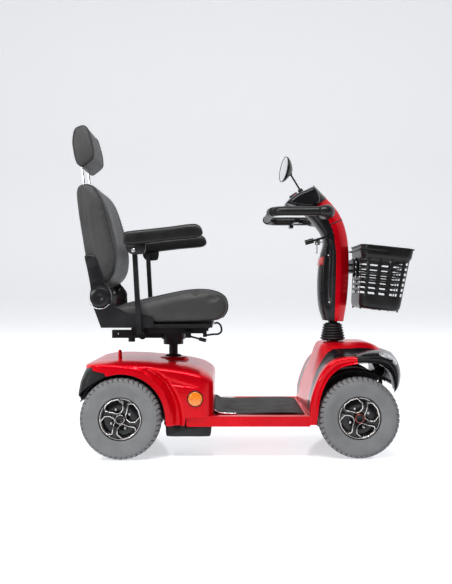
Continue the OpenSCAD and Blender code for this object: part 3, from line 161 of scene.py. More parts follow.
def dress(finish, *names):
    """Gives CAD nodes a finish."""
    for name in names:
        for material_slot in nodes[name].material_slots:
            material_slot.material = finish.material


coat_black = powder_coat("satin_black_coat", (0.007, 0.007, 0.008), 0.38)
zinc = metal("bright_zinc", (0.55, 0.56, 0.58), 0.28)
chrome = metal("chrome", (0.83, 0.84, 0.85), 0.08, 0.2)
cast_housing = powder_coat("cast_housing", (0.05, 0.05, 0.055), 0.55)
dress(coat_black, "chassis_frame", "steering_stem", "seat_post", "seat_base", "seat_frame",
      "back_frame", "tiller_frame", "armrest_arm_left", "armrest_arm_right", "swivel_lever")
dress(zinc, "knuckle_left", "knuckle_right", "tie_rod_left", "tie_rod_right", "key")
dress(chrome, "headrest_posts", "tilt_lever", "mirror_stem")
dress(cast_housing, "transaxle")


# ---- Undertray, batteries and lower trim ----
# Moulded black polypropylene with a fine spark grain. The tray hangs under the deck and holds the
# two batteries; the same plastic makes the bumper, the inner mudguards and the basket.

def moulded(name, colour, roughness, grain=0.25):
    """Grained plastic whose raised grain is worn a little smoother and paler in patches."""
    finish = Finish(name, colour, roughness)
    rubbed = finish.band(finish.noise(14, 4), 0.5, 0.75)
    pale = tuple(1.5 * c + 0.003 for c in colour)
    finish.set({"Base Color": finish.mix(rubbed, colour, pale),
                "Roughness": finish.band(rubbed, 0, 1, roughness, roughness + 0.08)})
    return finish.bump(finish.cells(1400), grain, 0.0003)


black_plastic = moulded("grained_black_plastic", (0.010, 0.010, 0.011), 0.40)
gloss_black = moulded("semi_gloss_black", (0.007, 0.007, 0.008), 0.18, 0.06)
dress(black_plastic, "battery_box", "batteries", "rear_bumper")


# ---- Foot deck and mat ----
# A pressed deck with the red side rails, and a dark rubber mat with fine lengthwise ribs. The mat
# turns up in a curved lip against the rear body, and that lip has a bright metal edging.

def metallic_red(name):
    """Deep red base with fine flake under a clear coat, darker in thin cloudy patches."""
    finish = Finish(name, (0.72, 0.0, 0.008), 0.30, metallic=0.55, coat=0.5)
    flake = finish.cells(2600)
    depth = finish.band(finish.noise(5, 2), 0.35, 0.7)
    base = finish.mix(depth, (0.76, 0.0, 0.010), (0.60, 0.0, 0.006))
    finish.set({"Base Color": finish.mix(finish.band(flake, 0.0, 0.25), (0.90, 0.015, 0.025), base),
                "Roughness": finish.band(flake, 0.0, 0.5, 0.24, 0.36),
                "Coat IOR": 1.34, "Specular IOR Level": 0.08})
    return finish


def smooth_step(low, high, value):
    """0 below low, 1 above high, with a smooth change between them."""
    ratio = np.clip((value - low) / (high - low), 0, 1)
    return ratio * ratio * (3 - 2 * ratio)


def surface(name, points, around=False, along=False, ends=False, keep=None, marks=None):
    """Mesh of the quads between a grid of points, shape (rows, columns, 3).

    around joins the last column to the first, along the last row to the first, and ends closes
    the first and last rows. keep says which quads stay, and marks are numbers for each point.
    """
    rows, columns = points.shape[:2]
    index = np.arange(rows * columns).reshape(rows, columns)
    if around:
        index = np.hstack([index, index[:, :1]])
    if along:
        index = np.vstack([index, index[:1]])
    quads = np.stack([index[:-1, :-1], index[1:, :-1], index[1:, 1:], index[:-1, 1:]], axis=-1)
    if keep is not None:
        quads = quads[keep]
    faces = quads.reshape(-1, 4).tolist()
    if ends:
        faces += [index[0, :columns].tolist(), index[-1, :columns].tolist()]
    mesh = bpy.data.meshes.new(name)
    mesh.from_pydata(points.reshape(-1, 3), [], faces)
    for key, values in (marks or {}).items():
        layer = mesh.attributes.new(key, "FLOAT", "POINT")
        layer.data.foreach_set("value", np.broadcast_to(values, (rows, columns)).ravel().astype(np.float32))
    tidy = bmesh.new()
    tidy.from_mesh(mesh)
    bmesh.ops.delete(tidy, geom=[v for v in tidy.verts if not v.link_faces], context="VERTS")
    bmesh.ops.remove_doubles(tidy, verts=tidy.verts, dist=1e-5)
    bmesh.ops.recalc_face_normals(tidy, faces=tidy.faces)
    tidy.to_mesh(mesh)
    tidy.free()
    mesh.polygons.foreach_set("use_smooth", np.ones(len(mesh.polygons), dtype=bool))
    piece = bpy.data.objects.new(name, mesh)
    bpy.context.scene.collection.objects.link(piece)
    return piece


def fit(piece, body, finish, slot, *replaced):
    """Puts a piece on its body with its finish, in place of CAD nodes."""
    piece.data.materials.append(finish.material)
    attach(piece, body)
    if replaced:
        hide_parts(*replaced)
    return piece


def wall(piece, thickness, offset=-1.0):
    """Gives an open surface its wall, inwards from the outer face."""
    solid = piece.modifiers.new("wall", "SOLIDIFY")
    solid.thickness = thickness
    solid.offset = offset
    return piece


def through(points, count):
    """Smooth curve through points: cubic pieces whose slopes come from each point's neighbours."""
    points = np.asarray(points, dtype=float)
    gaps = np.linalg.norm(np.diff(points, axis=0), axis=1)
    knots = np.concatenate([[0], np.cumsum(gaps)])
    slopes = np.gradient(points, knots, axis=0)
    at = np.linspace(0, knots[-1], count)
    piece = np.clip(np.searchsorted(knots, at, side="right") - 1, 0, len(points) - 2)
    step = (knots[piece + 1] - knots[piece])[:, None]
    t = (at - knots[piece])[:, None] / step
    return ((2 * t**3 - 3 * t**2 + 1) * points[piece] + (t**3 - 2 * t**2 + t) * step * slopes[piece]
            + (3 * t**2 - 2 * t**3) * points[piece + 1] + (t**3 - t**2) * step * slopes[piece + 1])


def tube(name, path, radius, sides=12, closed=False):
    """Circle of a radius, or one radius a point, carried along a path without twisting."""
    path = np.asarray(path, dtype=float)
    if closed:
        heading = np.roll(path, -1, axis=0) - np.roll(path, 1, axis=0)
    else:
        heading = np.gradient(path, axis=0)
    heading /= np.linalg.norm(heading, axis=1)[:, None]
    side = np.zeros_like(path)
    last = np.cross(heading[0], [0.31, 0.27, 0.91])
    for i, ahead in enumerate(heading):
        last = last - ahead * last.dot(ahead)
        last = last / np.linalg.norm(last)
        side[i] = last
    up = np.cross(heading, side)
    turn = np.linspace(0, 2 * np.pi, sides, endpoint=False)[None, :, None]
    reach = np.broadcast_to(np.asarray(radius, dtype=float), (len(path),))[:, None, None]
    ring = np.cos(turn) * side[:, None] + np.sin(turn) * up[:, None]
    return surface(name, path[:, None] + reach * ring, around=True, along=closed, ends=not closed)


def spread_across(line, places):
    """Grid of a side-view line (x, z) repeated at each place across."""
    shape = (len(line), len(places))
    return np.stack([np.broadcast_to(line[:, :1], shape), np.broadcast_to(places, shape),
                     np.broadcast_to(line[:, 1:], shape)], axis=-1)


red = metallic_red("metallic_red")
dress(red, "deck_shell", "freewheel_lever")

mat_low, mat_high = np.array(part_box("deck_mat"))
mat_rubber = Finish("ribbed_mat_rubber", (0.030, 0.024, 0.021), 0.55)
rib = mat_rubber.node("ShaderNodeTexWave", {"wave_type": "BANDS", "bands_direction": "Y"},
                      {"Vector": mat_rubber.place, "Scale": 32.0, "Distortion": 0.0})
scuff = mat_rubber.band(mat_rubber.noise(11, 5), 0.45, 0.8)
mat_rubber.set({"Base Color": mat_rubber.mix(scuff, (0.012, 0.009, 0.008), (0.024, 0.019, 0.016)),
                "Roughness": mat_rubber.band(scuff, 0, 1, 0.48, 0.66), "Specular IOR Level": 0.12})
mat_rubber.bump(rib + 0.15 * mat_rubber.noise(900, 1), 0.5, 0.0008)

mat_top = 0.176
lip_rise = mat_high[2] - mat_top
mat_side = through([(mat_low[0] + 0.001, mat_high[2] - 0.001),
                    (mat_low[0] + 0.008, mat_top + 0.62 * lip_rise),
                    (mat_low[0] + 0.020, mat_top + 0.16 * lip_rise), (mat_low[0] + 0.045, mat_top + 0.0002),
                    (mat_high[0] - 0.02, mat_top + 0.0002), (mat_high[0] - 0.002, mat_top - 0.002)], 60)
mat_points = spread_across(mat_side, np.linspace(-0.225, 0.225, 24))
fit(wall(surface("mat", mat_points), 0.0035), "frame", mat_rubber, "mat_rubber", "deck_mat")
for side_name, facing, edge_column in (("right", -1, 0), ("left", 1, -1)):
    edging = mat_points[:16, edge_column] + (0, 0.001 * facing, 0.0015)
    fit(tube("mat_edging_" + side_name, edging, 0.0022, 10), "frame", chrome, "chrome")


# ---- Road wheels ----
# Grey non-marking tyres with a block tread that wraps over the shoulders, on moulded black rims
# with four swept spokes. The raised edges round the four pockets are machined bright.

rear_x, axle_z, tyre_radius = -0.501, 0.165, 0.1675
front_x = 0.467
tread_blocks = 46
nut_circle = 0.041
sides = (("left", 1), ("right", -1))

tyre_rubber = Finish("grey_tyre_rubber", (0.20, 0.205, 0.21), 0.72)
soil = tyre_rubber.band(tyre_rubber.noise(16, 6), 0.4, 0.75)
# The groove mark is painted shade: tread grooves, the ring groove and the sidewall scallops are mixed towards
# near black.
groove = tyre_rubber.attribute("groove")
fresh = tyre_rubber.mix(soil, (0.185, 0.189, 0.193), (0.150, 0.153, 0.155))
tyre_rubber.set({"Base Color": tyre_rubber.mix(0.80 * groove, fresh, (0.040, 0.041, 0.043)),
                 "Roughness": tyre_rubber.band(soil, 0, 1, 0.62, 0.8)})
tyre_rubber.bump(tyre_rubber.noise(1200, 2) + 0.5 * tyre_rubber.noise(130, 3), 0.18, 0.0006)


def tyre(name, centre, width, facing):
    """Tyre as a ring: a rounded cross-section carried round the axle, with tread cut into it.

    The tread is a zigzag of grooves across the crown that opens over both shoulders, and the
    sidewall has a raised bead line, two fine rings and a shallow scalloped edge. The grooves,
    the ring groove in the tread and the scallops are also coloured near black as painted shade.
    """
    turns, lines = 552, 74
    around = np.linspace(0, 2 * np.pi, turns, endpoint=False)[:, None]
    across = np.linspace(-1, 1, lines)[None, :]
    lean = np.abs(across)
    half = width / 2 - 0.001
    swing = lean * np.pi * 0.60
    cap = tyre_radius - 0.036
    radius = cap + 0.034 * np.sign(np.cos(swing)) * np.abs(np.cos(swing)) ** 0.72
    wide = half * np.sin(np.minimum(swing, np.pi / 2)) ** 0.62
    tuck = smooth_step(0.80, 1.0, lean)
    below = np.clip(swing * 2 / np.pi - 1, 0, None) / 0.2
    radius = np.where(swing > np.pi / 2, cap - (cap - 0.088) * below**0.85, radius)
    wide = wide - 0.011 * tuck
    phase = around * tread_blocks / (2 * np.pi)
    zigzag = 0.28 * np.abs(((across * 3.4) % 2) - 1)
    block = np.abs(((phase + zigzag) % 1) - 0.5) * 2
    tread_zone = 1 - smooth_step(0.50, 0.60, lean + 0.035 * np.cos(2 * np.pi * phase))
    cut = smooth_step(0.72, 0.86, block) * tread_zone
    ring_cut = np.exp(-((lean - 0.17) / 0.022) ** 2) * tread_zone
    scallop = np.exp(-((lean - 0.60 - 0.03 * np.cos(2 * np.pi * phase)) / 0.02) ** 2)
    depth = 0.0042 * np.maximum(cut, 0.8 * ring_cut) + 0.0016 * scallop
    lines_out = 0.0010 * (np.exp(-((lean - 0.83) / 0.010) ** 2) + np.exp(-((lean - 0.90) / 0.010) ** 2))
    out = lines_out - depth * (0.25 + 0.75 * smooth_step(0.62, 0.5, lean))
    radius = radius + out * np.cos(np.minimum(swing, np.pi / 2)) ** 0.5 * (lean < 0.83)
    wide = (wide + (out - 0.25 * depth) * np.sin(np.minimum(swing, np.pi / 2))) * np.sign(across)
    points = np.stack([centre[0] + radius * np.cos(around), centre[1] + facing * wide + 0 * around,
                       centre[2] + radius * np.sin(around)], axis=-1)
    # Painted shade mark: how deep each point lies in a groove or scallop, which darkens its colour.
    painted_groove_shade = np.clip(np.maximum(cut, ring_cut) + 0.5 * scallop, 0, 1)
    return wall(surface(name, points, along=True, marks={"groove": painted_groove_shade}), 0.004)


def distance_to_outline(corners, x, y):
    """Signed distance of points from a closed outline: negative inside."""
    corners = np.asarray(corners)
    nearest = np.full(x.shape, 1e9)
    inside = np.zeros(x.shape, dtype=bool)
    for (ax, ay), (bx, by) in zip(corners, np.roll(corners, -1, axis=0)):
        along = np.clip(((x - ax) * (bx - ax) + (y - ay) * (by - ay)) / ((bx - ax)**2 + (by - ay)**2), 0, 1)
        nearest = np.minimum(nearest, np.hypot(x - ax - along * (bx - ax), y - ay - along * (by - ay)))
        crosses = (ay > y) != (by > y)
        inside ^= crosses & (x < (bx - ax) * (y - ay) / (by - ay + 1e-12) + ax)
    return np.where(inside, -nearest, nearest)


rim_finish = Finish("black_rim_with_machined_edges", (0.012, 0.012, 0.013), 0.25)
edge = rim_finish.attribute("bright")
rim_finish.set({"Base Color": rim_finish.mix(edge, (0.006, 0.006, 0.007), (0.86, 0.82, 0.80)),
                "Roughness": rim_finish.band(rim_finish.noise(120, 3), 0.3, 0.7, 0.18, 0.30),
                "Metallic": edge, "Coat Weight": 0.3})
rim_finish.bump(rim_finish.noise(1500, 1), 0.05, 0.0003)

# One pocket: corners as (radius, turn in degrees), swept round like a pinwheel
pocket = [(0.066, 150), (0.0745, 146), (0.0795, 137), (0.0800, 117), (0.0790, 97), (0.062, 80), (0.042, 75),
          (0.0255, 88), (0.0245, 120), (0.041, 137)]


def rim_face(name, centre, face_y, facing):
    """Outer face of a rim as a height over rings and turns: four pockets sunk behind the spokes."""
    turn = np.linspace(0, 2 * np.pi, 480, endpoint=False)[None, :]
    ring = np.concatenate([np.linspace(0.017, 0.0835, 76), [0.0842, 0.0846]])[:, None]
    x, z = ring * np.cos(turn), ring * np.sin(turn)
    gap = np.full(x.shape, 1e9)
    for quarter in range(4):
        angles = [np.radians(turn_back - 90 * quarter) for _, turn_back in pocket]
        corners = [(reach * np.cos(a), reach * np.sin(a)) for (reach, _), a in zip(pocket, angles)]
        gap = np.minimum(gap, distance_to_outline(corners, x, z))
    dish = 0.007 * np.sin(np.clip((ring - 0.02) / 0.064, 0, 1) * np.pi)
    dish = dish + 0.004 * smooth_step(0.075, 0.084, ring)
    trough = 0.0025 * smooth_step(0.003, 0.009, gap) * smooth_step(0.030, 0.045, ring)
    sunk = 0.020 * smooth_step(0.0, -0.004, gap)
    lift = dish - sunk - trough - 0.012 * smooth_step(0.0835, 0.0846, ring)
    shine = smooth_step(0.0019, 0.0009, np.abs(gap - 0.0006))
    shine = np.maximum(shine, smooth_step(0.0014, 0.0007, np.abs(ring - 0.0825)) * np.ones_like(x))
    points = np.stack([centre[0] + x, face_y + facing * (lift - 0.010), centre[2] + z], axis=-1)
    return surface(name, points, around=True, marks={"bright": shine})


def turned(name, outline, origin, axis, count=48):
    """A (radius, distance along axis) outline turned round an axis; its ends meet the axis."""
    axis = np.asarray(axis, dtype=float)
    axis /= np.linalg.norm(axis)
    one = np.cross(axis, [0.3, 0.2, 0.93])
    one /= np.linalg.norm(one)
    two = np.cross(axis, one)
    outline = np.asarray(outline, dtype=float)
    turn = np.linspace(0, 2 * np.pi, count, endpoint=False)[None, :, None]
    points = (np.asarray(origin) + outline[:, None, 1:2] * axis
              + outline[:, None, 0:1] * (np.cos(turn) * one + np.sin(turn) * two))
    return surface(name, points, around=True)


ring_finish = metal("hub_ring", (0.50, 0.47, 0.46), 0.18, 0.3)
red_ring = Finish("tinted_hub_ring", (0.42, 0.10, 0.08), 0.2, metallic=0.9)
red_ring.bump(red_ring.noise(600, 2), 0.06, 0.0003)

for side_name, facing in sides:
    for axle, wheel_x, wheel_y, width, ring_look in (("rear", rear_x, 0.272, 0.090, ring_finish),
                                                     ("front", front_x, 0.2495, 0.085, red_ring)):
        centre = np.array([wheel_x, facing * wheel_y, axle_z])
        body = axle + "_wheel_" + side_name
        tag = "_" + axle + "_" + side_name
        fit(tyre("tyre" + tag, centre, width, facing), body, tyre_rubber, "tyre_grey",
            axle + "_tyre_" + side_name)
        dress(rim_finish, axle + "_rim_" + side_name)
        face_y = centre[1] + facing * (width / 2 - 0.009)
        hub_place, outwards = (centre[0], face_y, centre[2]), (0, facing, 0)
        fit(rim_face("rim_face" + tag, centre, face_y, facing), body, rim_finish, "rim_metal",
            axle + "_rim_" + side_name)
        barrel = [(0.0846, 0.002), (0.0855, -0.004), (0.0850, -0.026), (0.0790, -0.034), (0.0780, -0.072),
                  (0.0300, -0.074), (0.0005, -0.074)]
        fit(turned("rim_barrel" + tag, [(r, d - 0.012) for r, d in barrel], hub_place, outwards, 96), body,
            rim_finish, "rim_metal")
        hub = [(0.0175, -0.020), (0.0180, -0.003), (0.0165, 0.0015), (0.0120, 0.003), (0.0110, 0.001),
               (0.0004, 0.0022)]
        fit(turned("hub_cap" + tag, hub, hub_place, outwards), body, gloss_black, "rim_metal")
        band = [(0.0176, -0.003), (0.0196, -0.004), (0.0196, -0.0005), (0.0170, 0.0018)]
        fit(wall(turned("hub_band" + tag, band, hub_place, outwards), 0.001), body, ring_look, "chrome")
        if axle == "rear":
            shaft = [(0.0260, -0.030), (0.0260, -0.060), (0.0180, -0.064), (0.0180, -0.190), (0.0004, -0.190)]
            fit(turned("rim_hub_tube" + tag, shaft, hub_place, outwards, 32), body, cast_housing, "cast")
        for quarter in range(4):
            a = np.radians(27 + 90 * quarter)
            seat = (centre[0] + nut_circle * np.cos(a), face_y, centre[2] + nut_circle * np.sin(a))
            nut = [(0.0075, -0.029), (0.0075, -0.0245), (0.0056, -0.0235), (0.0056, -0.0150),
                   (0.0042, -0.0125), (0.0003, -0.0115)]
            fit(turned("wheel_nut_%d%s" % (quarter + 1, tag), nut, seat, outwards, 12), body, zinc, "steel")

small_tread = Finish("small_wheel_rubber", (0.030, 0.028, 0.028), 0.6)
small_tread.set({"Roughness": small_tread.band(small_tread.noise(90, 4), 0.3, 0.7, 0.5, 0.75)})
small_tread.bump(small_tread.noise(800, 2), 0.2, 0.0005)
dress(small_tread, "anti_tip_wheel_left", "anti_tip_wheel_right")


# ---- Rear body ----
# One moulded cover over the batteries and rear axle, painted metallic red. A rolled arch stands
# over each rear wheel, with a hollowed channel in front of it and a crease swept out of the channel.

body_low, body_high = np.array(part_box("rear_body"))
arch_radius = 0.181
crown_x = -0.308


def rounded_plan(x0, x1, half, rear_corner, front_corner, count):
    """Even points round a rectangle with rounded corners, from the middle of the front."""
    corners = []
    for cx, cy, corner, start in ((x1 - front_corner, half - front_corner, front_corner, 0),
                                  (x0 + rear_corner, half - rear_corner, rear_corner, 90),
                                  (x0 + rear_corner, rear_corner - half, rear_corner, 180),
                                  (x1 - front_corner, front_corner - half, front_corner, 270)):
        turn = np.radians(np.linspace(start, start + 90, 16))
        corners.append(np.stack([cx + corner * np.cos(turn), cy + corner * np.sin(turn)], axis=-1))
    path = np.vstack([[(x1, 0)], *corners, [(x1, 0)]])
    run = np.concatenate([[0], np.cumsum(np.linalg.norm(np.diff(path, axis=0), axis=1))])
    at = np.linspace(0, run[-1], count, endpoint=False)
    return np.stack([np.interp(at, run, path[:, 0]), np.interp(at, run, path[:, 1])], axis=-1)


def bell(value, low, high, soft):
    """1 between low and high, easing to 0 over soft outside them."""
    return smooth_step(low - soft, low + soft, value) * (1 - smooth_step(high - soft, high + soft, value))


def rear_shell():
    """Cover as rows from its lower edge, up the sides, over a rounded shoulder, to the seat post."""
    plan = rounded_plan(body_low[0] + 0.004, body_high[0] - 0.001, body_high[1] - 0.003, 0.075, 0.062, 400)
    px, py = plan[None, :, 0], plan[None, :, 1]
    sideways = smooth_step(0.225, 0.262, np.abs(py))
    reach = np.abs(px - rear_x)
    arch = axle_z + np.sqrt(np.clip(arch_radius**2 - reach**2, 0, None))
    sill = np.interp(px, [-0.652, -0.562, -0.54, -0.33, -0.320, -0.242, -0.236],
                     [0.366, 0.350, 0.2, 0.142, 0.138, 0.138, 0.172])
    side_edge = np.where(reach < arch_radius, np.maximum(arch, sill * (px < rear_x)), sill)
    end_edge = np.where(px < rear_x, 0.358, 0.174)
    low = sideways * side_edge + (1 - sideways) * end_edge
    shoulder = np.interp(px, [-0.655, -0.60, -0.52, -0.40, -0.30, -0.20, -0.16, -0.124],
                         [0.372, 0.372, 0.362, 0.348, 0.333, 0.314, 0.298, 0.284])
    crown = np.array([(-0.655, 0.388), (-0.600, 0.395), (-0.520, 0.3965), (-0.436, 0.395), (-0.366, 0.390),
                      (-0.300, 0.384), (-0.236, 0.376), (-0.180, 0.364), (-0.124, 0.343)])
    rise = np.linspace(0, 1, 60)[:, None]
    wall_k = np.concatenate([[0.935, 0.950, 0.990], np.ones(len(rise))])[:, None]
    wall_z = np.vstack([low + 0.010, low + 0.0015, low - 0.0015, low + (shoulder - low) * rise])
    bend = np.radians(np.concatenate([np.linspace(2, 62, 26), np.linspace(64, 89.9, 22)]))[:, None]
    power = 2 / 4.2
    top_k = np.cos(bend) ** power
    inner_x = crown_x + (px - crown_x) * top_k
    top_z = shoulder + (np.interp(inner_x, crown[:, 0], crown[:, 1]) - shoulder) * np.sin(bend) ** power
    k = np.vstack([wall_k * np.ones_like(px), top_k * np.ones_like(px)])
    x = crown_x + (px - crown_x) * k
    z = np.vstack([wall_z, top_z])
    y = py * k
    outward = np.sign(py) * smooth_step(0.20, 0.27, np.abs(py)) * smooth_step(0.80, 0.97, k)
    ring = np.hypot(x - rear_x, z - axle_z) - arch_radius
    over = smooth_step(rear_x - 0.03, rear_x + 0.05, x)
    band = bell(ring, -0.02, 0.030, 0.004) * over + bell(z, 0.2, 0.384, 0.004) * (1 - over) * (x < -0.2)
    ahead = smooth_step(-0.44, -0.38, x)
    channel = bell(ring, 0.037, 0.060 - 0.045 * (z - 0.25), 0.011) * ahead * smooth_step(0.385, 0.335, z)
    run = np.clip((x + 0.312) / 0.125, 0, 1)
    wedge = bell(z, 0.303 - 0.014 * run, 0.327 - 0.034 * run, 0.003) * bell(x, -0.32, -0.19, 0.006)
    wedge = wedge * (1 - 0.6 * run)
    swell = 0.004 * np.sin(np.clip((z - 0.17) / 0.2, 0, 1) * np.pi) * bell(x, -0.26, -0.15, 0.03)
    y = y + outward * (0.0035 * band - 0.018 * channel - 0.007 * wedge + swell)
    return surface("rear_cover", np.stack([x, y, z], axis=-1), around=True)


fit(wall(rear_shell(), 0.003), "frame", red, "red_gloss", "rear_body")
boss = [(0.0400, 0.004), (0.0405, 0.020), (0.0440, 0.0235), (0.0600, 0.0200), (0.0680, 0.0130),
        (0.0720, 0.002), (0.0735, -0.010)]
fit(wall(turned("post_boss", boss, (crown_x, 0, 0.3715), (0, 0, 1), 72), 0.003), "frame", red, "red_gloss")
post_ring = [(0.0225, 0.0), (0.0225, 0.012), (0.0300, 0.0105), (0.0385, 0.004), (0.0395, 0.0)]
fit(wall(turned("post_seal", post_ring, (crown_x, 0, 0.3910), (0, 0, 1), 60), 0.0015), "frame", black_plastic,
    "black_plastic")

peg = through([(-0.5215, -0.150, 0.376), (-0.5225, -0.150, 0.405), (-0.5235, -0.150, 0.4335)], 24)
peg_radius = 0.0085 * np.sqrt(np.clip(1 - np.linspace(0, 1, 24) ** 12, 0.05, 1))
fit(tube("freewheel_lever_peg", peg, peg_radius, 24), "freewheel", red, "red_gloss", "freewheel_lever")


# ---- Rear bumper and inner wheel arches ----
# The bumper is a black moulding that closes the rear below the cover and wraps round both corners
# to the wheels. Behind each arch a black inner arch keeps road dirt out of the body.

def curve_at(points, at):
    """Smooth curve through points, at whole and part numbers of them: 0 is the first point."""
    points = np.asarray(points, dtype=float)
    slopes = np.gradient(points, axis=0)
    base = np.clip(at.astype(int), 0, len(points) - 2)
    t = (at - base)[..., None]
    return ((2 * t**3 - 3 * t**2 + 1) * points[base] + (t**3 - 2 * t**2 + t) * slopes[base]
            + (3 * t**2 - 2 * t**3) * points[base + 1] + (t**3 - t**2) * slopes[base + 1])


def around_loop(points):
    """Smooth closed curve through points, eight steps between each two."""
    points = np.asarray(points, dtype=float)
    looped = np.vstack([points[-2:], points, points[:3]])
    return curve_at(looped, np.arange(16, 16 + 8 * len(points)) / 8)


def rear_bumper():
    """Same plan as the cover's rear, flared outwards low down, cut away round the wheels."""
    plan = rounded_plan(body_low[0] - 0.006, -0.45, body_high[1] - 0.010, 0.040, 0.01, 420)
    plan = plan[plan[:, 0] < -0.556]
    px, py = plan[None, :, 0], plan[None, :, 1]
    at_side = smooth_step(0.205, 0.245, np.abs(py))
    round_wheel = axle_z + np.sqrt(np.clip(0.181**2 - (px - rear_x) ** 2, 0.0018, None))
    low = at_side * np.maximum(round_wheel, 0.226) + (1 - at_side) * 0.226
    rise = np.concatenate([[0.04, 0.015], np.linspace(0, 1, 36)])[:, None]
    z = low + (0.372 - low) * rise
    pull = np.concatenate([[0.012, 0.004], np.zeros(36)])[:, None]
    flare = np.interp(z, [0.225, 0.236, 0.263, 0.314, 0.356, 0.372],
                      [0.008, 0.013, 0.0165, 0.007, -0.010, -0.022])
    x = px - flare * smooth_step(-0.600, -0.652, px) + pull
    y = py * (1 + 0.018 * smooth_step(0.36, 0.28, z)) - np.sign(py) * pull
    return surface("rear_bumper_wrap", np.stack([x, y, z], axis=-1))


fit(wall(rear_bumper(), 0.003), "frame", black_plastic, "black_plastic", "rear_bumper")
for side_name, facing in sides:
    sweep = np.radians(np.linspace(-8, 158, 60))[:, None]
    reach_in = np.array([[0.286, 0.250, 0.200, 0.165, 0.160, 0.160, 0.160]])
    hollow = np.array([[0.1785, 0.1785, 0.1785, 0.1785, 0.1700, 0.1200, 0.0650]])
    inner_arch = np.stack([rear_x + hollow * np.cos(sweep), facing * reach_in + 0 * sweep,
                           axle_z + hollow * np.sin(sweep)], axis=-1)
    fit(wall(surface("inner_arch_" + side_name, inner_arch), 0.002), "frame", black_plastic, "black_plastic")


def side_sections(outline, places, sizes, centre):
    """A side-view outline at each place across, drawn in about its centre by a size."""
    view = centre + (np.asarray(outline)[None] - centre) * np.asarray(sizes)[:, None, None]
    across = np.broadcast_to(np.asarray(places)[:, None], view.shape[:2])
    return np.stack([view[..., 0], across, view[..., 1]], axis=-1)


tray = around_loop([(-0.320, 0.150), (-0.322, 0.120), (-0.320, 0.094), (-0.308, 0.087), (-0.230, 0.0865),
                             (-0.150, 0.087), (-0.138, 0.093), (-0.1345, 0.120), (-0.1345, 0.150),
                             (-0.230, 0.151)])
tray_across = np.array([-1, -0.985, -0.94, 0, 0.94, 0.985, 1]) * 0.262
tray_points = side_sections(tray, tray_across, (0.90, 0.97, 1, 1, 1, 0.97, 0.90), (-0.228, 0.120))
fit(surface("undertray", tray_points, around=True, ends=True), "frame", black_plastic, "black_plastic",
    "battery_box")


# ---- Reflectors and tail lamps ----
# Round prismatic lenses clipped into dark bezels: amber on the sides, red on the rear bumper.

def prism_lens(name, colour):
    """Plastic lens with moulded prisms: small facets painted lighter and darker as painted highlights and
    shade, and a faint painted glow.
    """
    finish = Finish(name, colour, 0.15, coat=1.0)
    facets_and_painted_glints = finish.cells(210)
    bright = tuple(min(1.0, 1.35 * c + 0.03) for c in colour)
    deep = tuple(0.55 * c for c in colour)
    # Painted light: each facet is mixed between a lit and a shaded copy of the lens colour, and the emission
    # is a painted glow, though the lens is not a lit lamp.
    finish.set({"Base Color": finish.mix(finish.band(facets_and_painted_glints, 0.1, 0.8), bright, deep),
                "Emission Color": (*colour, 1), "Emission Strength": 0.10})
    return finish.bump(facets_and_painted_glints, 0.35, 0.001)


amber = prism_lens("amber_prism_lens", (0.95, 0.20, 0.0))
lamp_red = prism_lens("red_prism_lens", (0.55, 0.01, 0.01))
dress(lamp_red, "reflectors")
lens_dome = [(0.0285, 0.002), (0.0285, 0.006), (0.0270, 0.0078), (0.0180, 0.0092), (0.0004, 0.0098)]
lens_bezel = [(0.0330, -0.004), (0.0330, 0.004), (0.0318, 0.0065), (0.0295, 0.0065), (0.0287, 0.003)]
for side_name, facing in sides:
    seat = (-0.199, facing * (body_high[1] - 0.0005), 0.247)
    fit(turned("amber_lens_" + side_name, lens_dome, seat, (0, facing, 0)), "frame", amber, "amber")
    fit(wall(turned("amber_bezel_" + side_name, lens_bezel, seat, (0, facing, 0)), 0.001), "frame",
        gloss_black, "black_plastic")
for place in (-0.178, -0.120, 0.120, 0.178):
    seat = (body_low[0] - 0.008, place, axle_z + 0.130)
    number = "%d" % round(1000 * place)
    fit(turned("tail_lens_" + number.replace("-", "r"), [(0.78 * r, d) for r, d in lens_dome], seat,
               (-1, 0, 0)),
        "frame", lamp_red, "amber")
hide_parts("reflectors")


# ---- Front body ----
# One painted cover over the front axle: a tower round the steering column that runs forwards into
# a short bonnet, and a rolled arch over each wheel. Black strips line its corners.

front_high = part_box("front_shroud")[1]

# Side views from the foot deck, up and over to the nose: the middle, the outer edge, the arch
middle_line = [(0.262, 0.172), (0.266, 0.205), (0.278, 0.262), (0.296, 0.330), (0.314, 0.392), (0.328, 0.436),
               (0.350, 0.457), (0.420, 0.4595), (0.510, 0.4630), (0.560, 0.452), (0.606, 0.420)]
outer_line = [(0.264, 0.139), (0.264, 0.187), (0.270, 0.244), (0.293, 0.312), (0.321, 0.364), (0.361, 0.399),
              (0.410, 0.412), (0.455, 0.415), (0.505, 0.417), (0.555, 0.414), (0.600, 0.402)]
arch_line = [(0.290, 0.139), (0.296, 0.175), (0.304, 0.236), (0.321, 0.290), (0.346, 0.334), (0.384, 0.367),
             (0.424, 0.381), (0.458, 0.387), (0.500, 0.389), (0.545, 0.386), (0.585, 0.370)]


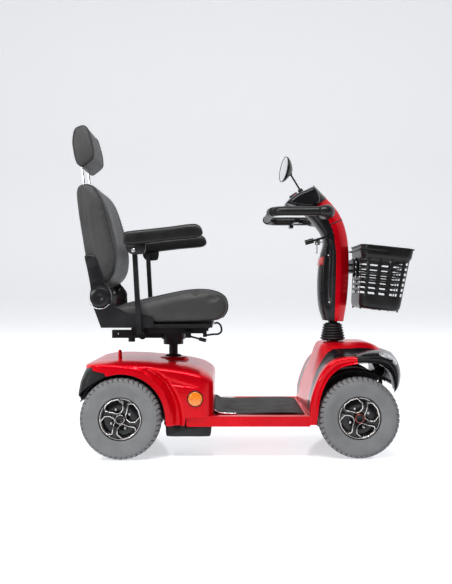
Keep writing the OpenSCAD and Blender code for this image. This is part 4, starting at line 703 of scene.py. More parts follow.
def front_shell():
    """Cover as side views set side by side: the middle view eases into the outer one."""
    steps = 170
    at = np.linspace(0, 10, steps)
    middle, outer, arch = (curve_at(line, at) for line in (middle_line, outer_line, arch_line))
    half = front_high[1] - 0.003
    place = np.concatenate([np.linspace(0, 0.90, 56), [0.925, 0.945, 0.960]]) * half
    ease = smooth_step(0.078, 0.200, place)[None, :, None]
    lower = smooth_step(4.6, 2.0, at)[:, None, None]
    ease = ease * (1 - lower) + lower * smooth_step(0.09, 0.27, place)[None, :, None]
    top = middle[:, None] * (1 - ease) + outer[:, None] * ease
    heading = np.gradient(outer, axis=0)
    heading /= np.linalg.norm(heading, axis=1)[:, None]
    inward = np.stack([heading[:, 1], -heading[:, 0]], axis=-1)
    roll = np.radians(np.linspace(0, 90, 9))[1:]
    edge_y = (0.960 + 0.040 * np.sin(roll)) * half
    drop = 0.010 * (1 - np.cos(roll))
    rolled = outer[:, None] + inward[:, None] * drop[None, :, None]
    share = np.linspace(0.14, 1, 16)[None, :, None]
    flank = (outer[:, None] + inward[:, None] * 0.010) * (1 - share) + arch[:, None] * share
    flank_y = half - 0.004 * np.sin(share[0, :, 0] * np.pi)
    lip = arch[:, None] + 0 * share[:, :3]
    lip_y = half - np.array([0.004, 0.012, 0.022])
    side_view = np.concatenate([top, rolled, flank, lip], axis=1)
    y = np.concatenate([place, edge_y, flank_y, lip_y])
    at_grid = np.broadcast_to(at[:, None], side_view.shape[:2])
    y_grid = np.broadcast_to(y, side_view.shape[:2])
    column_index = np.broadcast_to(np.arange(len(y)), side_view.shape[:2])
    top_part = column_index < len(place) + 5
    strip_in = np.interp(at_grid, [0, 2, 4, 5, 6, 7, 10], [0.196, 0.184, 0.164, 0.148, 0.140, 0.138, 0.138])
    strip_out = np.interp(at_grid, [0, 2, 4, 5, 6, 6.8, 7.0, 10],
                          [0.250, 0.249, 0.243, 0.242, 0.244, 0.262, 0.30, 0.30])
    strip = (y_grid > strip_in) & (y_grid < strip_out) & top_part & (at_grid > 1.1)
    wing = (at_grid > 7.0) & ~top_part
    black = np.where(strip | wing, 1.0, 0.0)
    points = np.stack([side_view[..., 0], y_grid, side_view[..., 1]], axis=-1)
    mirrored = points[:, :0:-1] * (1, -1, 1)
    return surface("front_cover", np.concatenate([mirrored, points], axis=1),
                   marks={"black": np.concatenate([black[:, :0:-1], black], axis=1)})


two_tone = metallic_red("metallic_red_with_black_strips")
black_part = two_tone.attribute("black") > 0.5
paint = two_tone.shader.inputs["Base Color"].links[0].from_socket
sheen = two_tone.shader.inputs["Roughness"].links[0].from_socket
two_tone.set({"Base Color": two_tone.mix(black_part, Number(two_tone, paint), (0.006, 0.005, 0.006)),
              "Roughness": Number(two_tone, sheen) * (1 - black_part) + 0.30 * black_part,
              "Metallic": 0.55 * (1 - black_part)})
fit(wall(front_shell(), 0.003), "frame", two_tone, "red_gloss", "front_shroud")


# ---- Front bumper and headlamps ----
# A black bumper bar wraps the nose and carries two clear lamps. Its side wings sweep back over the
# wheels and meet the painted arches, with daylight between the wing and the inner mudguard.

bumper_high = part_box("front_bumper")[1]

# Outer and inner lines in side view, in the middle of the nose and over the wheels
nose_outer = [(0.584, 0.427), (0.588, 0.4262), (0.592, 0.4250), (0.596, 0.4235), (0.601, 0.4210),
              (0.609, 0.4140), (0.622, 0.392), (0.632, 0.356), (0.632, 0.318), (0.624, 0.290), (0.610, 0.276)]
nose_inner = [(0.582, 0.421), (0.586, 0.4205), (0.590, 0.4195), (0.594, 0.4180), (0.598, 0.4150),
              (0.604, 0.4090), (0.616, 0.389), (0.626, 0.355), (0.626, 0.320), (0.619, 0.294), (0.608, 0.282)]
wing_outer = [(0.456, 0.416), (0.482, 0.4245), (0.508, 0.4300), (0.540, 0.4335), (0.570, 0.4315),
              (0.600, 0.4165), (0.622, 0.388), (0.633, 0.352), (0.633, 0.318), (0.625, 0.288), (0.608, 0.268)]
wing_inner = [(0.456, 0.389), (0.482, 0.3880), (0.506, 0.3860), (0.530, 0.3820), (0.552, 0.3750),
              (0.572, 0.3620), (0.586, 0.344), (0.595, 0.325), (0.599, 0.306), (0.601, 0.288), (0.603, 0.272)]


def on_bumper(at, across, face=1.0, lift=0.0):
    """Point of the bumper: at 0 to 10 along its lines, across from -1 to 1, face 1 outer, -1 inner."""
    y = across * (bumper_high[1] - 0.004) + 0 * at
    to_wing = smooth_step(0.100, 0.165, np.abs(y))[..., None]
    outer = curve_at(nose_outer, at) * (1 - to_wing) + curve_at(wing_outer, at) * to_wing
    inner = curve_at(nose_inner, at) * (1 - to_wing) + curve_at(wing_inner, at) * to_wing
    middle = (outer + inner) / 2
    rounding = 0.84 - 0.30 * smooth_step(0.0, 3.5, at)
    thin = np.clip((np.abs(across) - rounding) / (1 - rounding), 0, 1)
    thin = np.sqrt(np.clip(1 - thin**2.1, 0.0004, 1))[..., None]
    view = middle + (outer - middle) * face * thin
    out = (outer - middle) / np.linalg.norm(outer - middle, axis=-1)[..., None]
    lift = np.broadcast_to(lift, y.shape)
    view = view + out * lift[..., None]
    bulge = 0.031 * (1 - np.abs(across) ** 2.4) * smooth_step(0.53, 0.61, view[..., 0])
    return np.stack([view[..., 0] + bulge, y * (1 + 0.6 * lift), view[..., 1]], axis=-1)


bumper_across = np.sin(np.linspace(-np.pi / 2, np.pi / 2, 110))
bumper_at = np.linspace(0, 10, 90)
at_grid, across_grid = np.meshgrid(bumper_at, bumper_across)
outer_face, inner_face = (on_bumper(at_grid, across_grid, face) for face in (1.0, -1.0))
bumper_points = np.concatenate([outer_face, inner_face[:, ::-1]], axis=1)
fit(surface("bumper_bar", bumper_points, around=True, ends=True), "frame", gloss_black, "black_plastic",
    "front_bumper")
# The lens is opaque here: its colour is mixed between near white and dark grey in cells, painted reflections
# standing in for the reflector seen through clear glass.
lamp_glass = Finish("clear_lamp_lens", (0.78, 0.80, 0.83), 0.08, metallic=0.55, coat=1.0)
flute = lamp_glass.node("ShaderNodeTexWave", {"wave_type": "BANDS", "bands_direction": "Y"},
                        {"Vector": lamp_glass.place, "Scale": 60.0, "Distortion": 1.5})
lamp_glass.set({"Base Color": lamp_glass.mix(lamp_glass.cells(90), (0.90, 0.91, 0.93), (0.22, 0.22, 0.24)),
                "Roughness": lamp_glass.band(flute, 0, 1, 0.05, 0.22)})
lamp_glass.bump(flute, 0.3, 0.0012)
for side_name, facing in sides:
    run = np.linspace(0, 1, 30)[:, None]
    spread = np.linspace(-1, 1, 22)[None, :]
    oval = np.sqrt(np.clip(1 - np.abs(2 * run - 1) ** 2.6, 0.002, None))
    lens_across = facing * (0.905 + 0.075 * spread * (0.35 + 0.65 * oval))
    lens_at = 3.35 + 2.55 * run + 0.25 * spread * np.sin(run * np.pi)
    bulge = 0.0012 + 0.0035 * (1 - spread**4) * oval
    lens = surface("headlamp_lens_" + side_name, on_bumper(lens_at, lens_across, 1.0, bulge))
    fit(wall(lens, 0.003), "frame", lamp_glass, "lens")
    sweep = np.radians(np.linspace(50, 172, 56))[:, None]
    reach_in = np.array([[0.205, 0.200, 0.165, 0.100, 0.094, 0.093, 0.092]])
    drop = np.array([[0.184, 0.192, 0.192, 0.192, 0.186, 0.150, 0.100]])
    guard = np.stack([front_x + drop * np.cos(sweep), facing * reach_in + 0 * sweep,
                      axle_z + drop * np.sin(sweep)], axis=-1)
    fit(wall(surface("inner_mudguard_" + side_name, guard), 0.002), "frame", black_plastic, "black_plastic")
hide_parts("headlamp")
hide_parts("front_liner")


# ---- Bellows boot ----
# Semi-gloss rubber bellows over the steering joint, fixed to the tower below and to the tiller
# above. Six folds, each a rounded ridge over a sharp valley.

boot_low, boot_high = np.array(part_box("boot"))
boot_rubber = Finish("bellows_rubber", (0.012, 0.012, 0.013), 0.36)
boot_rubber.set({"Roughness": boot_rubber.band(boot_rubber.noise(70, 4), 0.3, 0.7, 0.30, 0.48)})
boot_rubber.bump(boot_rubber.noise(1100, 2), 0.12, 0.0004)
column_x = (boot_low[0] + boot_high[0]) / 2
climb = np.linspace(0, 1, 150)
fold = np.abs(np.sin(np.clip((climb - 0.05) / 0.90, 0, 1) * 6 * np.pi)) ** 0.55
boot_radius = 0.0475 - 0.0150 * climb + 0.0095 * fold * (1 - 0.18 * climb)
boot_line = np.stack([boot_radius, climb * (boot_high[2] - boot_low[2])], axis=-1)
boot = wall(turned("boot_bellows", boot_line, (column_x, 0, boot_low[2]), (0, 0, 1), 72), 0.002)
boot.data.materials.append(boot_rubber.material)
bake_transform(boot)
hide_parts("boot")


# ---- Tiller ----
# A hollow column cover in three mouldings: a painted front whose flat side strips break into an
# angled face, and a black cover behind it with a long scooped groove. It leans back to the console.

# Front and rear of the tiller in side view, from the foot to under the console
tiller_front = [(0.446, 0.547), (0.459, 0.625), (0.4665, 0.700), (0.470, 0.780), (0.4685, 0.860),
                (0.462, 0.922), (0.447, 0.980), (0.424, 1.028), (0.393, 1.068), (0.352, 1.110),
                (0.314, 1.150)]
tiller_rear = [(0.352, 0.553), (0.336, 0.610), (0.330, 0.680), (0.332, 0.765), (0.342, 0.838),
               (0.355, 0.893), (0.344, 0.932), (0.312, 0.978), (0.288, 1.003), (0.268, 1.030), (0.280, 1.090)]
tiller_half = 0.0595
cover_split = [0.04, 0.06, 0.07, 0.06, 0.0, -0.20, -0.15, -0.05, 0.0, 0.0, 0.0]


def tiller_band(name, section, first, last, groove=0.0):
    """Part of the tiller between two cuts: section gives (depth share, width share) round it.

    A depth share of 0 lies on the split between the mouldings, 1 on the front and -1 on the rear.
    """
    steps = 120
    at = np.linspace(0, 10, steps)[first:last]
    front, rear = curve_at(tiller_front, at), curve_at(tiller_rear, at)
    split = curve_at(np.array(cover_split)[:, None], at)[:, None]
    middle = ((front + rear) / 2)[:, None]
    reach = ((front - rear) / 2)[:, None]
    section = np.asarray(section, dtype=float)
    depth = section[None, :, 0:1]
    share = np.where(depth < 0, split + depth * (1 + split), split + depth * (1 - split))
    side_view = middle + reach * share
    height = np.linspace(0, 1, steps)[first:last, None]
    wide = tiller_half * (0.80 + 0.20 * smooth_step(0, 0.12, height)) * section[None, :, 1]
    scoop = bell(section[None, :, 0], -0.62, -0.30, 0.14) * bell(height, 0.12, 0.50, 0.08)
    wide = wide - np.sign(wide) * groove * scoop * smooth_step(0.7, 0.95, np.abs(section[None, :, 1]))
    return surface(name, np.stack([side_view[..., 0], wide + 0 * height, side_view[..., 1]], axis=-1))


def half_round(points, count):
    """Smooth half outline and its mirror image, from one side of the split to the other."""
    outline = through(points, count)
    return np.vstack([outline, (outline * (1, -1))[-2::-1]])


painted = half_round([(0.0, 1.0), (0.15, 1.0), (0.33, 0.985), (0.37, 0.95), (0.70, 0.62), (0.93, 0.32),
                      (1.0, 0.0)], 40)
rear_cover = half_round([(0.0, 0.985), (-0.25, 1.0), (-0.55, 0.97), (-0.78, 0.84), (-0.93, 0.55),
                         (-1.0, 0.0)], 40)
fit(wall(tiller_band("tiller_painted_front", painted, 0, 109), 0.003), "tiller", red, "red_gloss",
    "tiller_cover")
satin_cover = moulded("satin_black_cover", (0.011, 0.011, 0.012), 0.26, 0.08)
fit(wall(tiller_band("tiller_rear_cover", rear_cover, 0, 108, 0.013), 0.003), "tiller", satin_cover,
    "black_plastic", "tiller_sides")
seam = half_round([(-0.02, 1.012), (0.15, 1.012), (0.33, 0.998), (0.37, 0.963), (0.70, 0.63), (0.93, 0.33),
                   (1.01, 0.0)], 40)
fit(wall(tiller_band("tiller_cover_seam", seam, 75, 77), 0.001), "tiller", coat_black, "black_plastic")
top_cover = half_round([(-0.10, 1.03), (0.20, 1.03), (0.45, 1.0), (0.75, 0.72), (1.03, 0.0)], 30)
fit(wall(tiller_band("tiller_top_cover", top_cover, 102, 120), 0.003), "tiller", satin_cover,
    "console_plastic")
screw_line = [(0.0045, -0.002), (0.0045, 0.0008), (0.0030, 0.0018), (0.0003, 0.0020)]
for number, (x, z) in enumerate(((0.376, 0.632), (0.372, 0.838))):
    for letter, facing in (("r", -1), ("l", 1)):
        screw = turned("cover_screw_%d%s" % (number, letter), screw_line, (x, facing * 0.0555, z),
                       (0, facing, 0), 20)
        fit(screw, "tiller", zinc, "steel")
rear_patch = half_round([(-0.80, 0.87), (-0.95, 0.62), (-1.045, 0.0)], 24)
fit(wall(tiller_band("column_reflector", rear_patch, 40, 47), 0.003), "tiller", lamp_red, "amber")


# ---- Console ----
# A black instrument pod between the tiller and the rider, with a sloping face that holds the key
# hole, speed dial, horn and lamp buttons, and a small charge gauge in a smoked window.

def refine(piece, levels=1):
    """Rounds a piece with subdivision."""
    rounds = piece.modifiers.new("rounds", "SUBSURF")
    rounds.levels = levels
    rounds.render_levels = levels
    return piece


pod_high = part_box("console")[1]
pod_outline = around_loop([(0.188, 1.070), (0.212, 1.092), (0.243, 1.111), (0.274, 1.123), (0.300, 1.135),
                           (0.318, 1.128), (0.330, 1.105), (0.336, 1.080), (0.330, 1.058), (0.305, 1.045),
                           (0.270, 1.042), (0.235, 1.046), (0.206, 1.053), (0.188, 1.060)])
pod_centre = np.array([0.275, 1.080])
pod_share = np.array([-1, -0.995, -0.97, -0.92, -0.84, -0.7, -0.4, 0, 0.4, 0.7, 0.84, 0.92, 0.97, 0.995, 1.0])
pod_size = np.sqrt(np.clip(1 - np.abs(pod_share) ** 7, 0.0, 1)) * 0.42 + 0.58
pod_points = side_sections(pod_outline, pod_share * pod_high[1], pod_size, pod_centre)
pod = refine(surface("console_pod", pod_points, around=True, ends=True))
fit(pod, "tiller", gloss_black, "console_plastic", "console")
smoked = Finish("smoked_window", (0.006, 0.007, 0.008), 0.06, coat=1.0)
smoked.set({"Roughness": smoked.band(smoked.noise(40, 3), 0.3, 0.7, 0.04, 0.10)})
window_x, window_y = np.meshgrid(np.linspace(0.249, 0.268, 8), np.linspace(-0.034, 0.034, 16), indexing="ij")
window_z = np.interp(window_x, [0.187, 0.212, 0.243, 0.274], [1.070, 1.092, 1.111, 1.123]) + 0.0012
fit(wall(surface("charge_gauge", np.stack([window_x, window_y, window_z], axis=-1)), 0.0015), "tiller",
    smoked, "console_plastic")
knob_finish = moulded("soft_touch_knob", (0.022, 0.022, 0.024), 0.5)
dress(knob_finish, "speed_dial")
for name, colour, node in (("red_button", (0.55, 0.03, 0.02), "horn_button"),
                           ("yellow_button", (0.70, 0.42, 0.03), "lamp_button")):
    button = Finish(name, colour, 0.25, coat=0.6)
    dress(button.bump(button.noise(900, 2), 0.05, 0.0003), node)
dress(gloss_black, "wig_wag")


# ---- Handlebar ----
# A closed loop of steel tube in thick black foam. The rear cross tube has only its coat, and a moulded
# elbow covers each front corner where the loop turns into the console.

bar_low, bar_high = np.array(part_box("handlebar"))
foam = Finish("handlebar_foam", (0.007, 0.007, 0.0075), 0.34)
foam.set({"Roughness": foam.band(foam.noise(45, 4), 0.3, 0.7, 0.28, 0.45)})
foam.bump(foam.noise(1600, 2) + 0.4 * foam.noise(160, 2), 0.10, 0.0005)
bar_z = (bar_low[2] + bar_high[2]) / 2
bar_loop = rounded_plan(bar_low[0] + 0.016, bar_high[0] - 0.016, bar_high[1] - 0.016, 0.055, 0.055, 260)
bar_path = np.column_stack([bar_loop, np.full(len(bar_loop), bar_z)])
fit(tube("handlebar_tube", bar_path, 0.0160, 20, closed=True), "tiller", coat_black, "frame_paint",
    "handlebar")
for side_name, facing in sides:
    on_side = bar_path[(facing * bar_path[:, 1] > 0.150) & (bar_path[:, 0] < 0.335)]
    on_side = on_side[np.argsort(on_side[:, 0] - 0.3 * facing * on_side[:, 1] * (on_side[:, 0] < 0.17))]
    ahead = through(on_side[::5], 70)
    swell = 0.0195 - 0.0030 * smooth_step(0.05, 0.0, np.linspace(0, 1, 70))
    fit(tube("foam_grip_" + side_name, ahead, swell, 28), "tiller", foam, "grip_foam")
    turn = np.linspace(0, 1, 46)
    elbow = through([(0.312, facing * 0.220, bar_z), (0.337, facing * 0.216, bar_z),
                     (0.348, facing * 0.196, bar_z), (0.348, facing * 0.150, bar_z),
                     (0.346, facing * 0.098, bar_z)], 46)
    girth = 0.0205 + 0.0085 * np.sin(np.clip(turn * 1.15, 0, 1) * np.pi) ** 0.8 + 0.004 * turn
    fit(tube("handlebar_elbow_" + side_name, elbow, girth, 28), "tiller", satin_cover, "black_plastic")
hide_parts("grips")


# ---- Mirror ----
# A round convex mirror on a thin black stem. The black shell is a shallow cone behind the glass,
# and the glass sits in a narrow rolled rim.

dress(gloss_black, "mirror_stem", "tilt_lever")
mirror_low, mirror_high = np.array(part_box("mirror_head"))
mirror_tilt, mirror_turn = np.radians(9), np.radians(13)
mirror_axis = np.array([-np.cos(mirror_tilt) * np.cos(mirror_turn), -np.sin(mirror_turn),
                        np.sin(mirror_tilt)])
mirror_seat = np.array([mirror_low[0] + 0.021, (mirror_low[1] + mirror_high[1]) / 2,
                        (mirror_low[2] + mirror_high[2]) / 2 - 0.012])
shell_line = [(0.0004, -0.038), (0.0100, -0.0365), (0.0260, -0.029), (0.0450, -0.0165), (0.0560, -0.006),
              (0.0590, 0.001), (0.0585, 0.0040), (0.0565, 0.0045), (0.0555, 0.0032)]
mirror_glass = Finish("mirror_glass", (0.90, 0.91, 0.92), 0.02, metallic=1.0)
mirror_glass.set({"Roughness": mirror_glass.band(mirror_glass.noise(12, 3), 0.3, 0.7, 0.01, 0.04)})
glass_line = [(0.0558, 0.0030), (0.0500, 0.0042), (0.0300, 0.0066), (0.0004, 0.0076)]
fit(turned("mirror_shell", through(shell_line, 40), mirror_seat, mirror_axis, 72), "mirror", gloss_black,
    "mirror_shell", "mirror_head")
fit(turned("mirror_glass", glass_line, mirror_seat, mirror_axis, 72), "mirror", mirror_glass, "chrome")


# ---- Basket ----
# A moulded black basket hung nose down on the tiller, with a deep plain rim, rows of slots in all
# four walls, and round corners. A wire bail lies along its rim.

basket_low, basket_high = np.array(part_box("basket"))
nose_down = np.radians(-6)
basket_corner = np.array([basket_low[0] + 0.028, basket_high[2] - 0.002])


def in_basket(along, y, down):
    """Point of the basket from its own rear top corner, turned nose down."""
    x = basket_corner[0] + along * np.cos(nose_down) + down * np.sin(nose_down)
    z = basket_corner[1] + along * np.sin(nose_down) - down * np.cos(nose_down)
    return np.stack([x, y + 0 * x, z + 0 * x], axis=-1)


def basket_wall():
    """Walls as rows from the rolled rim to the floor; the slots are quads left out."""
    periods, part = 18, 8
    count = periods * part
    heights = [0.000, -0.0025, 0.0, 0.020, 0.041, 0.044]
    slot_rows = []
    for row in range(7):
        slot_rows.append(len(heights))
        heights += [0.057 + 0.0225 * row, 0.063 + 0.0225 * row, 0.0692 + 0.0225 * row]
    heights += [0.222, 0.240, 0.255, 0.264, 0.2685, 0.270, 0.270, 0.270, 0.270]
    heights = np.array(heights)
    share = heights / 0.27
    inset = np.concatenate([[0.0045, 0.0015, 0, 0.0002, 0.0004, 0.0050], np.full(len(heights) - 6, 0.0055)])
    deep = len(heights) - 7
    inset[deep:] += [0.0010, 0.0045, 0.0110, 0.030, 0.055, 0.085, 0.1062]
    points = []
    for at, pull, down in zip(share, inset, heights):
        taper = np.clip(at, 0, 1)
        ring = rounded_plan(0.002 + 0.014 * taper + pull, 0.226 - 0.022 * taper - pull,
                            0.1475 - 0.0175 * taper - pull, max(0.034 - 0.2 * pull, 0.002),
                            max(0.034 - 0.2 * pull, 0.002), count)
        points.append(in_basket(ring[:, 0], ring[:, 1], down))
    keep = np.ones((len(heights) - 1, count), dtype=bool)
    column = np.arange(count) % part
    for row in slot_rows:
        keep[row:row + 2, (column > 0) & (column < part - 1)] = False
    return surface("basket_body", np.array(points), around=True, keep=keep)


basket_plastic = moulded("basket_plastic", (0.009, 0.009, 0.0095), 0.30, 0.12)
body_of_basket = refine(wall(basket_wall(), 0.0028))
fit(body_of_basket, "front_basket", basket_plastic, "black_plastic", "basket")
rim_ring = rounded_plan(-0.0005, 0.2285, 0.1472, 0.036, 0.036, 200)
fit(tube("basket_rim_bead", in_basket(rim_ring[:, 0], rim_ring[:, 1], -0.0005), 0.0032, 10, closed=True),
    "front_basket", basket_plastic, "black_plastic")
for number, (along, y) in enumerate(((0.03, -0.09), (0.19, -0.09), (0.11, -0.11), (0.03, 0.09),
                                     (0.19, 0.09))):
    stub = in_basket(np.array([along, along]), y, np.array([0.264, 0.272]))
    fit(tube("basket_foot_%d" % (number + 1), stub, 0.0040, 12), "front_basket", basket_plastic,
        "black_plastic")
for letter, facing in (("r", -1), ("l", 1)):
    hook = through([in_basket(np.array(0.016), facing * 0.046, np.array(down)) + (dx, 0, 0) for down, dx in
                    ((0.135, -0.0042), (0.100, -0.0078), (0.060, -0.012), (0.050, -0.020))], 30)
    fit(tube("basket_hanger_" + letter, hook, 0.0045, 12), "front_basket", coat_black, "frame_paint")
dress(coat_black, "basket_handle")


# ---- Seat steelwork details ----
# Bright bolts at the armrest pivots, a thin bright arc at each recline hinge that is a painted highlight on
# the edge of its notch, the release wire loop and its lever.

wire = through([(x, -0.165, z) for x, z in
                ((-0.125, 0.545), (-0.112, 0.5475), (-0.101, 0.541), (-0.0945, 0.526), (-0.0945, 0.512),
                 (-0.103, 0.5025), (-0.130, 0.499), (-0.166, 0.494))], 60)
fit(tube("slide_release_wire", wire, 0.0042, 12), "slide_release", coat_black, "frame_paint", "slide_bar")
hinge_x, hinge_z = -0.590, 0.660
frame_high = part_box("seat_frame")[1]
notch = np.radians(np.linspace(-150, -35, 40))
bolt = [(0.0090, -0.003), (0.0090, 0.003), (0.0070, 0.0062), (0.0035, 0.0072), (0.0003, 0.0074)]
for side_name, facing in sides:
    # Painted highlight: a thin zinc arc laid on the bracket where the edge of its round notch catches the
    # light.
    arc_y = facing * (frame_high[1] + 0.0012)
    highlight_arc = np.stack([hinge_x - 0.003 + 0.0475 * np.cos(notch), arc_y + 0 * notch,
                    hinge_z - 0.005 + 0.0475 * np.sin(notch)], axis=-1)
    fit(tube("hinge_notch_painted_highlight_" + side_name, highlight_arc, 0.0016, 10), "seat", zinc, "steel")
    bracket = around_loop([(-0.470, 0.885), (-0.478, 0.866), (-0.472, 0.842), (-0.456, 0.830),
                           (-0.430, 0.829), (-0.409, 0.832), (-0.402, 0.846), (-0.400, 0.870),
                           (-0.404, 0.890), (-0.436, 0.893)])
    block = side_sections(bracket, facing * np.array([0.2790, 0.2805, 0.2970, 0.2985]), (0.92, 1, 1, 0.96),
                          (-0.436, 0.860))
    fit(surface("arm_pad_bracket_" + side_name, block, around=True, ends=True), "pad_" + side_name,
        coat_black, "frame_paint")
    fit(turned("arm_pivot_bolt_" + side_name, bolt, (-0.448, facing * 0.2985, 0.845), (0, facing, 0), 24),
        "pad_" + side_name, zinc, "steel")


# ---- Upholstery ----
# Charcoal vinyl sewn over foam. Each panel swells between its seams, the seams are pulled down,
# and piping runs along the edges. The pads are shaped from their solids and then blown up as cloth.

vinyl = Finish("charcoal_vinyl", (0.060, 0.061, 0.063), 0.50)
grain = vinyl.cells(620, "DISTANCE_TO_EDGE")
rubbed_vinyl = vinyl.band(vinyl.noise(7, 5), 0.42, 0.72)
vinyl.set({"Base Color": vinyl.mix(rubbed_vinyl, (0.036, 0.036, 0.0365), (0.050, 0.050, 0.051)),
           "Roughness": vinyl.band(grain, 0.0, 0.12, 0.62, 0.42)})
vinyl.bump(vinyl.band(grain, 0.0, 0.10) + 0.6 * vinyl.noise(240, 3), 0.22, 0.0006)
piping_vinyl = Finish("piping_vinyl", (0.020, 0.020, 0.021), 0.42)
piping_vinyl.bump(piping_vinyl.noise(900, 2), 0.15, 0.0004)


def blow_up(pad, voxel, pressure, cap, held):
    """Remeshes a pad and swells it as cloth; points near the held seams and base stay put."""
    mesh = pad.data
    remesh = pad.modifiers.new("even", "REMESH")
    remesh.mode = "VOXEL"
    remesh.voxel_size = voxel
    graph = bpy.context.evaluated_depsgraph_get()
    even = bpy.data.meshes.new_from_object(pad.evaluated_get(graph))
    pad.modifiers.clear()
    pad.data = even
    bpy.data.meshes.remove(mesh)
    count = len(even.vertices)
    rest = np.empty(count * 3, dtype=np.float32)
    even.vertices.foreach_get("co", rest)
    rest = rest.reshape(-1, 3)
    group = pad.vertex_groups.new(name="held")
    weights = held(rest)
    for level in (1.0, 0.6, 0.3):
        top = np.inf if level == 1.0 else level + 0.4
        chosen = np.nonzero((weights >= level) & (weights < top))[0]
        group.add(chosen.tolist(), level, "REPLACE")
    cloth = pad.modifiers.new("cloth", "CLOTH")
    cloth.settings.use_pressure = True
    cloth.settings.uniform_pressure_force = pressure
    cloth.settings.vertex_group_mass = "held"
    cloth.settings.effector_weights.gravity = 0
    cloth.settings.quality = 5
    scene = bpy.context.scene
    for step in range(1, 21):
        scene.frame_set(step)
    graph = bpy.context.evaluated_depsgraph_get()
    swollen = np.empty(count * 3, dtype=np.float32)
    pad.evaluated_get(graph).data.vertices.foreach_get("co", swollen)
    move = swollen.reshape(-1, 3) - rest
    far = np.linalg.norm(move, axis=1)[:, None]
    rest = rest + move * np.minimum(1, cap / np.maximum(far, 1e-6))
    pad.modifiers.clear()
    scene.frame_set(1)
    even.vertices.foreach_set("co", rest.astype(np.float32).ravel())
    even.polygons.foreach_set("use_smooth", np.ones(len(even.polygons), dtype=bool))
    even.update()


def skin_of(pad):
    """Search tree of a pad's surface, to lay seams on."""
    corners = np.empty(len(pad.data.vertices) * 3, dtype=np.float32)
    pad.data.vertices.foreach_get("co", corners)
    return BVHTree.FromPolygons(corners.reshape(-1, 3).tolist(),
                                [tuple(p.vertices) for p in pad.data.polygons])


def laid_on(tree, points, lift):
    """Points moved to the nearest place on a surface, and lift above it."""
    placed = []
    for point in points:
        near, normal, _, _ = tree.find_nearest(Vector(point))
        placed.append(np.array(near) + lift * np.array(normal))
    return np.array(placed)


def soften(points, passes=3):
    """Evens out a laid path by averaging each point with its neighbours."""
    for _ in range(passes):
        points[1:-1] = (points[:-2] + 2 * points[1:-1] + points[2:]) / 4
    return points


def piping(name, pad_tree, points, body, radius=0.0028, closed=False, lift=0.0006):
    """Round vinyl-covered cord sewn along a seam of a pad."""
    path = through(points, 160)
    path = soften(laid_on(pad_tree, path, lift), 4)
    if closed:
        path = path[:-1]
    return fit(tube(name, path, radius, 10, closed=closed), body, piping_vinyl, "vinyl")


# Seat cushion: thin at the back, thick and rolled over at the front
seat_outline = around_loop([(-0.540, 0.552), (-0.400, 0.549), (-0.250, 0.550), (-0.120, 0.558),
                            (-0.080, 0.580), (-0.066, 0.615), (-0.078, 0.655), (-0.120, 0.680),
                            (-0.175, 0.688), (-0.250, 0.682), (-0.340, 0.662), (-0.430, 0.638),
                            (-0.505, 0.622), (-0.540, 0.606), (-0.545, 0.575)])
seat_centre = np.array([-0.31, 0.600])
seat_places = np.array([-1, -0.985, -0.94, -0.86, -0.72, -0.5, -0.25, 0, 0.25, 0.5, 0.72, 0.86, 0.94, 0.985,
                        1.0])
seat_sizes = 0.88 + 0.12 * np.sqrt(np.clip(1 - np.abs(seat_places) ** 12, 0, 1))
seat_points = side_sections(seat_outline, seat_places * 0.227, seat_sizes, seat_centre)
seat_pad = surface("seat_pad", seat_points, around=True, ends=True)
seam_y = 0.187


def seat_held(points):
    """1 on the base and along the seams, less beside them."""
    base = smooth_step(0.566, 0.556, points[:, 2])
    lengthwise = np.exp(-((np.abs(points[:, 1]) - seam_y) / 0.006) ** 2) * (points[:, 2] > 0.600)
    in_middle = (points[:, 2] > 0.640) * (np.abs(points[:, 1]) < seam_y)
    cross = np.exp(-((points[:, 0] + 0.128) / 0.006) ** 2) * in_middle
    return np.maximum.reduce([base, lengthwise, cross])


blow_up(seat_pad, 0.006, 4.0, 0.010, seat_held)
refine(seat_pad)
fit(seat_pad, "seat", vinyl, "vinyl", "seat_cushion")
seat_tree = skin_of(seat_pad)
for side_name, facing in sides:
    piping("seat_piping_" + side_name, seat_tree,
           [(x, facing * seam_y, z) for x, z in
            ((-0.535, 0.625), (-0.43, 0.660), (-0.30, 0.700), (-0.17, 0.715), (-0.09, 0.690), (-0.055, 0.615),
             (-0.085, 0.565))], "seat")
piping("seat_front_seam", seat_tree, [(-0.128, -seam_y, 0.72), (-0.126, 0, 0.72), (-0.128, seam_y, 0.72)],
       "seat", 0.0018)

# Backrest: side wings wrap a softer middle that is pleated across its waist
back_outline = around_loop([(-0.600, 0.700), (-0.562, 0.722), (-0.536, 0.765), (-0.528, 0.830),
                            (-0.540, 0.900), (-0.560, 0.980), (-0.586, 1.060), (-0.614, 1.108),
                            (-0.640, 1.128), (-0.668, 1.130), (-0.690, 1.120), (-0.6975, 1.090),
                            (-0.691, 1.022), (-0.682, 0.960), (-0.672, 0.900), (-0.660, 0.828),
                            (-0.640, 0.750), (-0.626, 0.702)])
back_centre = np.array([-0.622, 0.920])
back_places = seat_places
back_sizes = 0.93 + 0.07 * np.sqrt(np.clip(1 - np.abs(back_places) ** 14, 0, 1))
hollow = np.stack([-0.012 * np.cos(back_places * np.pi / 2) ** 2, 0 * back_places], axis=-1)
back_points = side_sections(back_outline, back_places * 0.212, back_sizes, back_centre)
front_side = smooth_step(-0.62, -0.56, back_points[..., 0])
back_points[..., 0] += front_side * hollow[:, None, 0]
back_pad = surface("back_pad", back_points, around=True, ends=True)
wing_y = 0.142
pleats = (0.845, 0.905, 0.965)


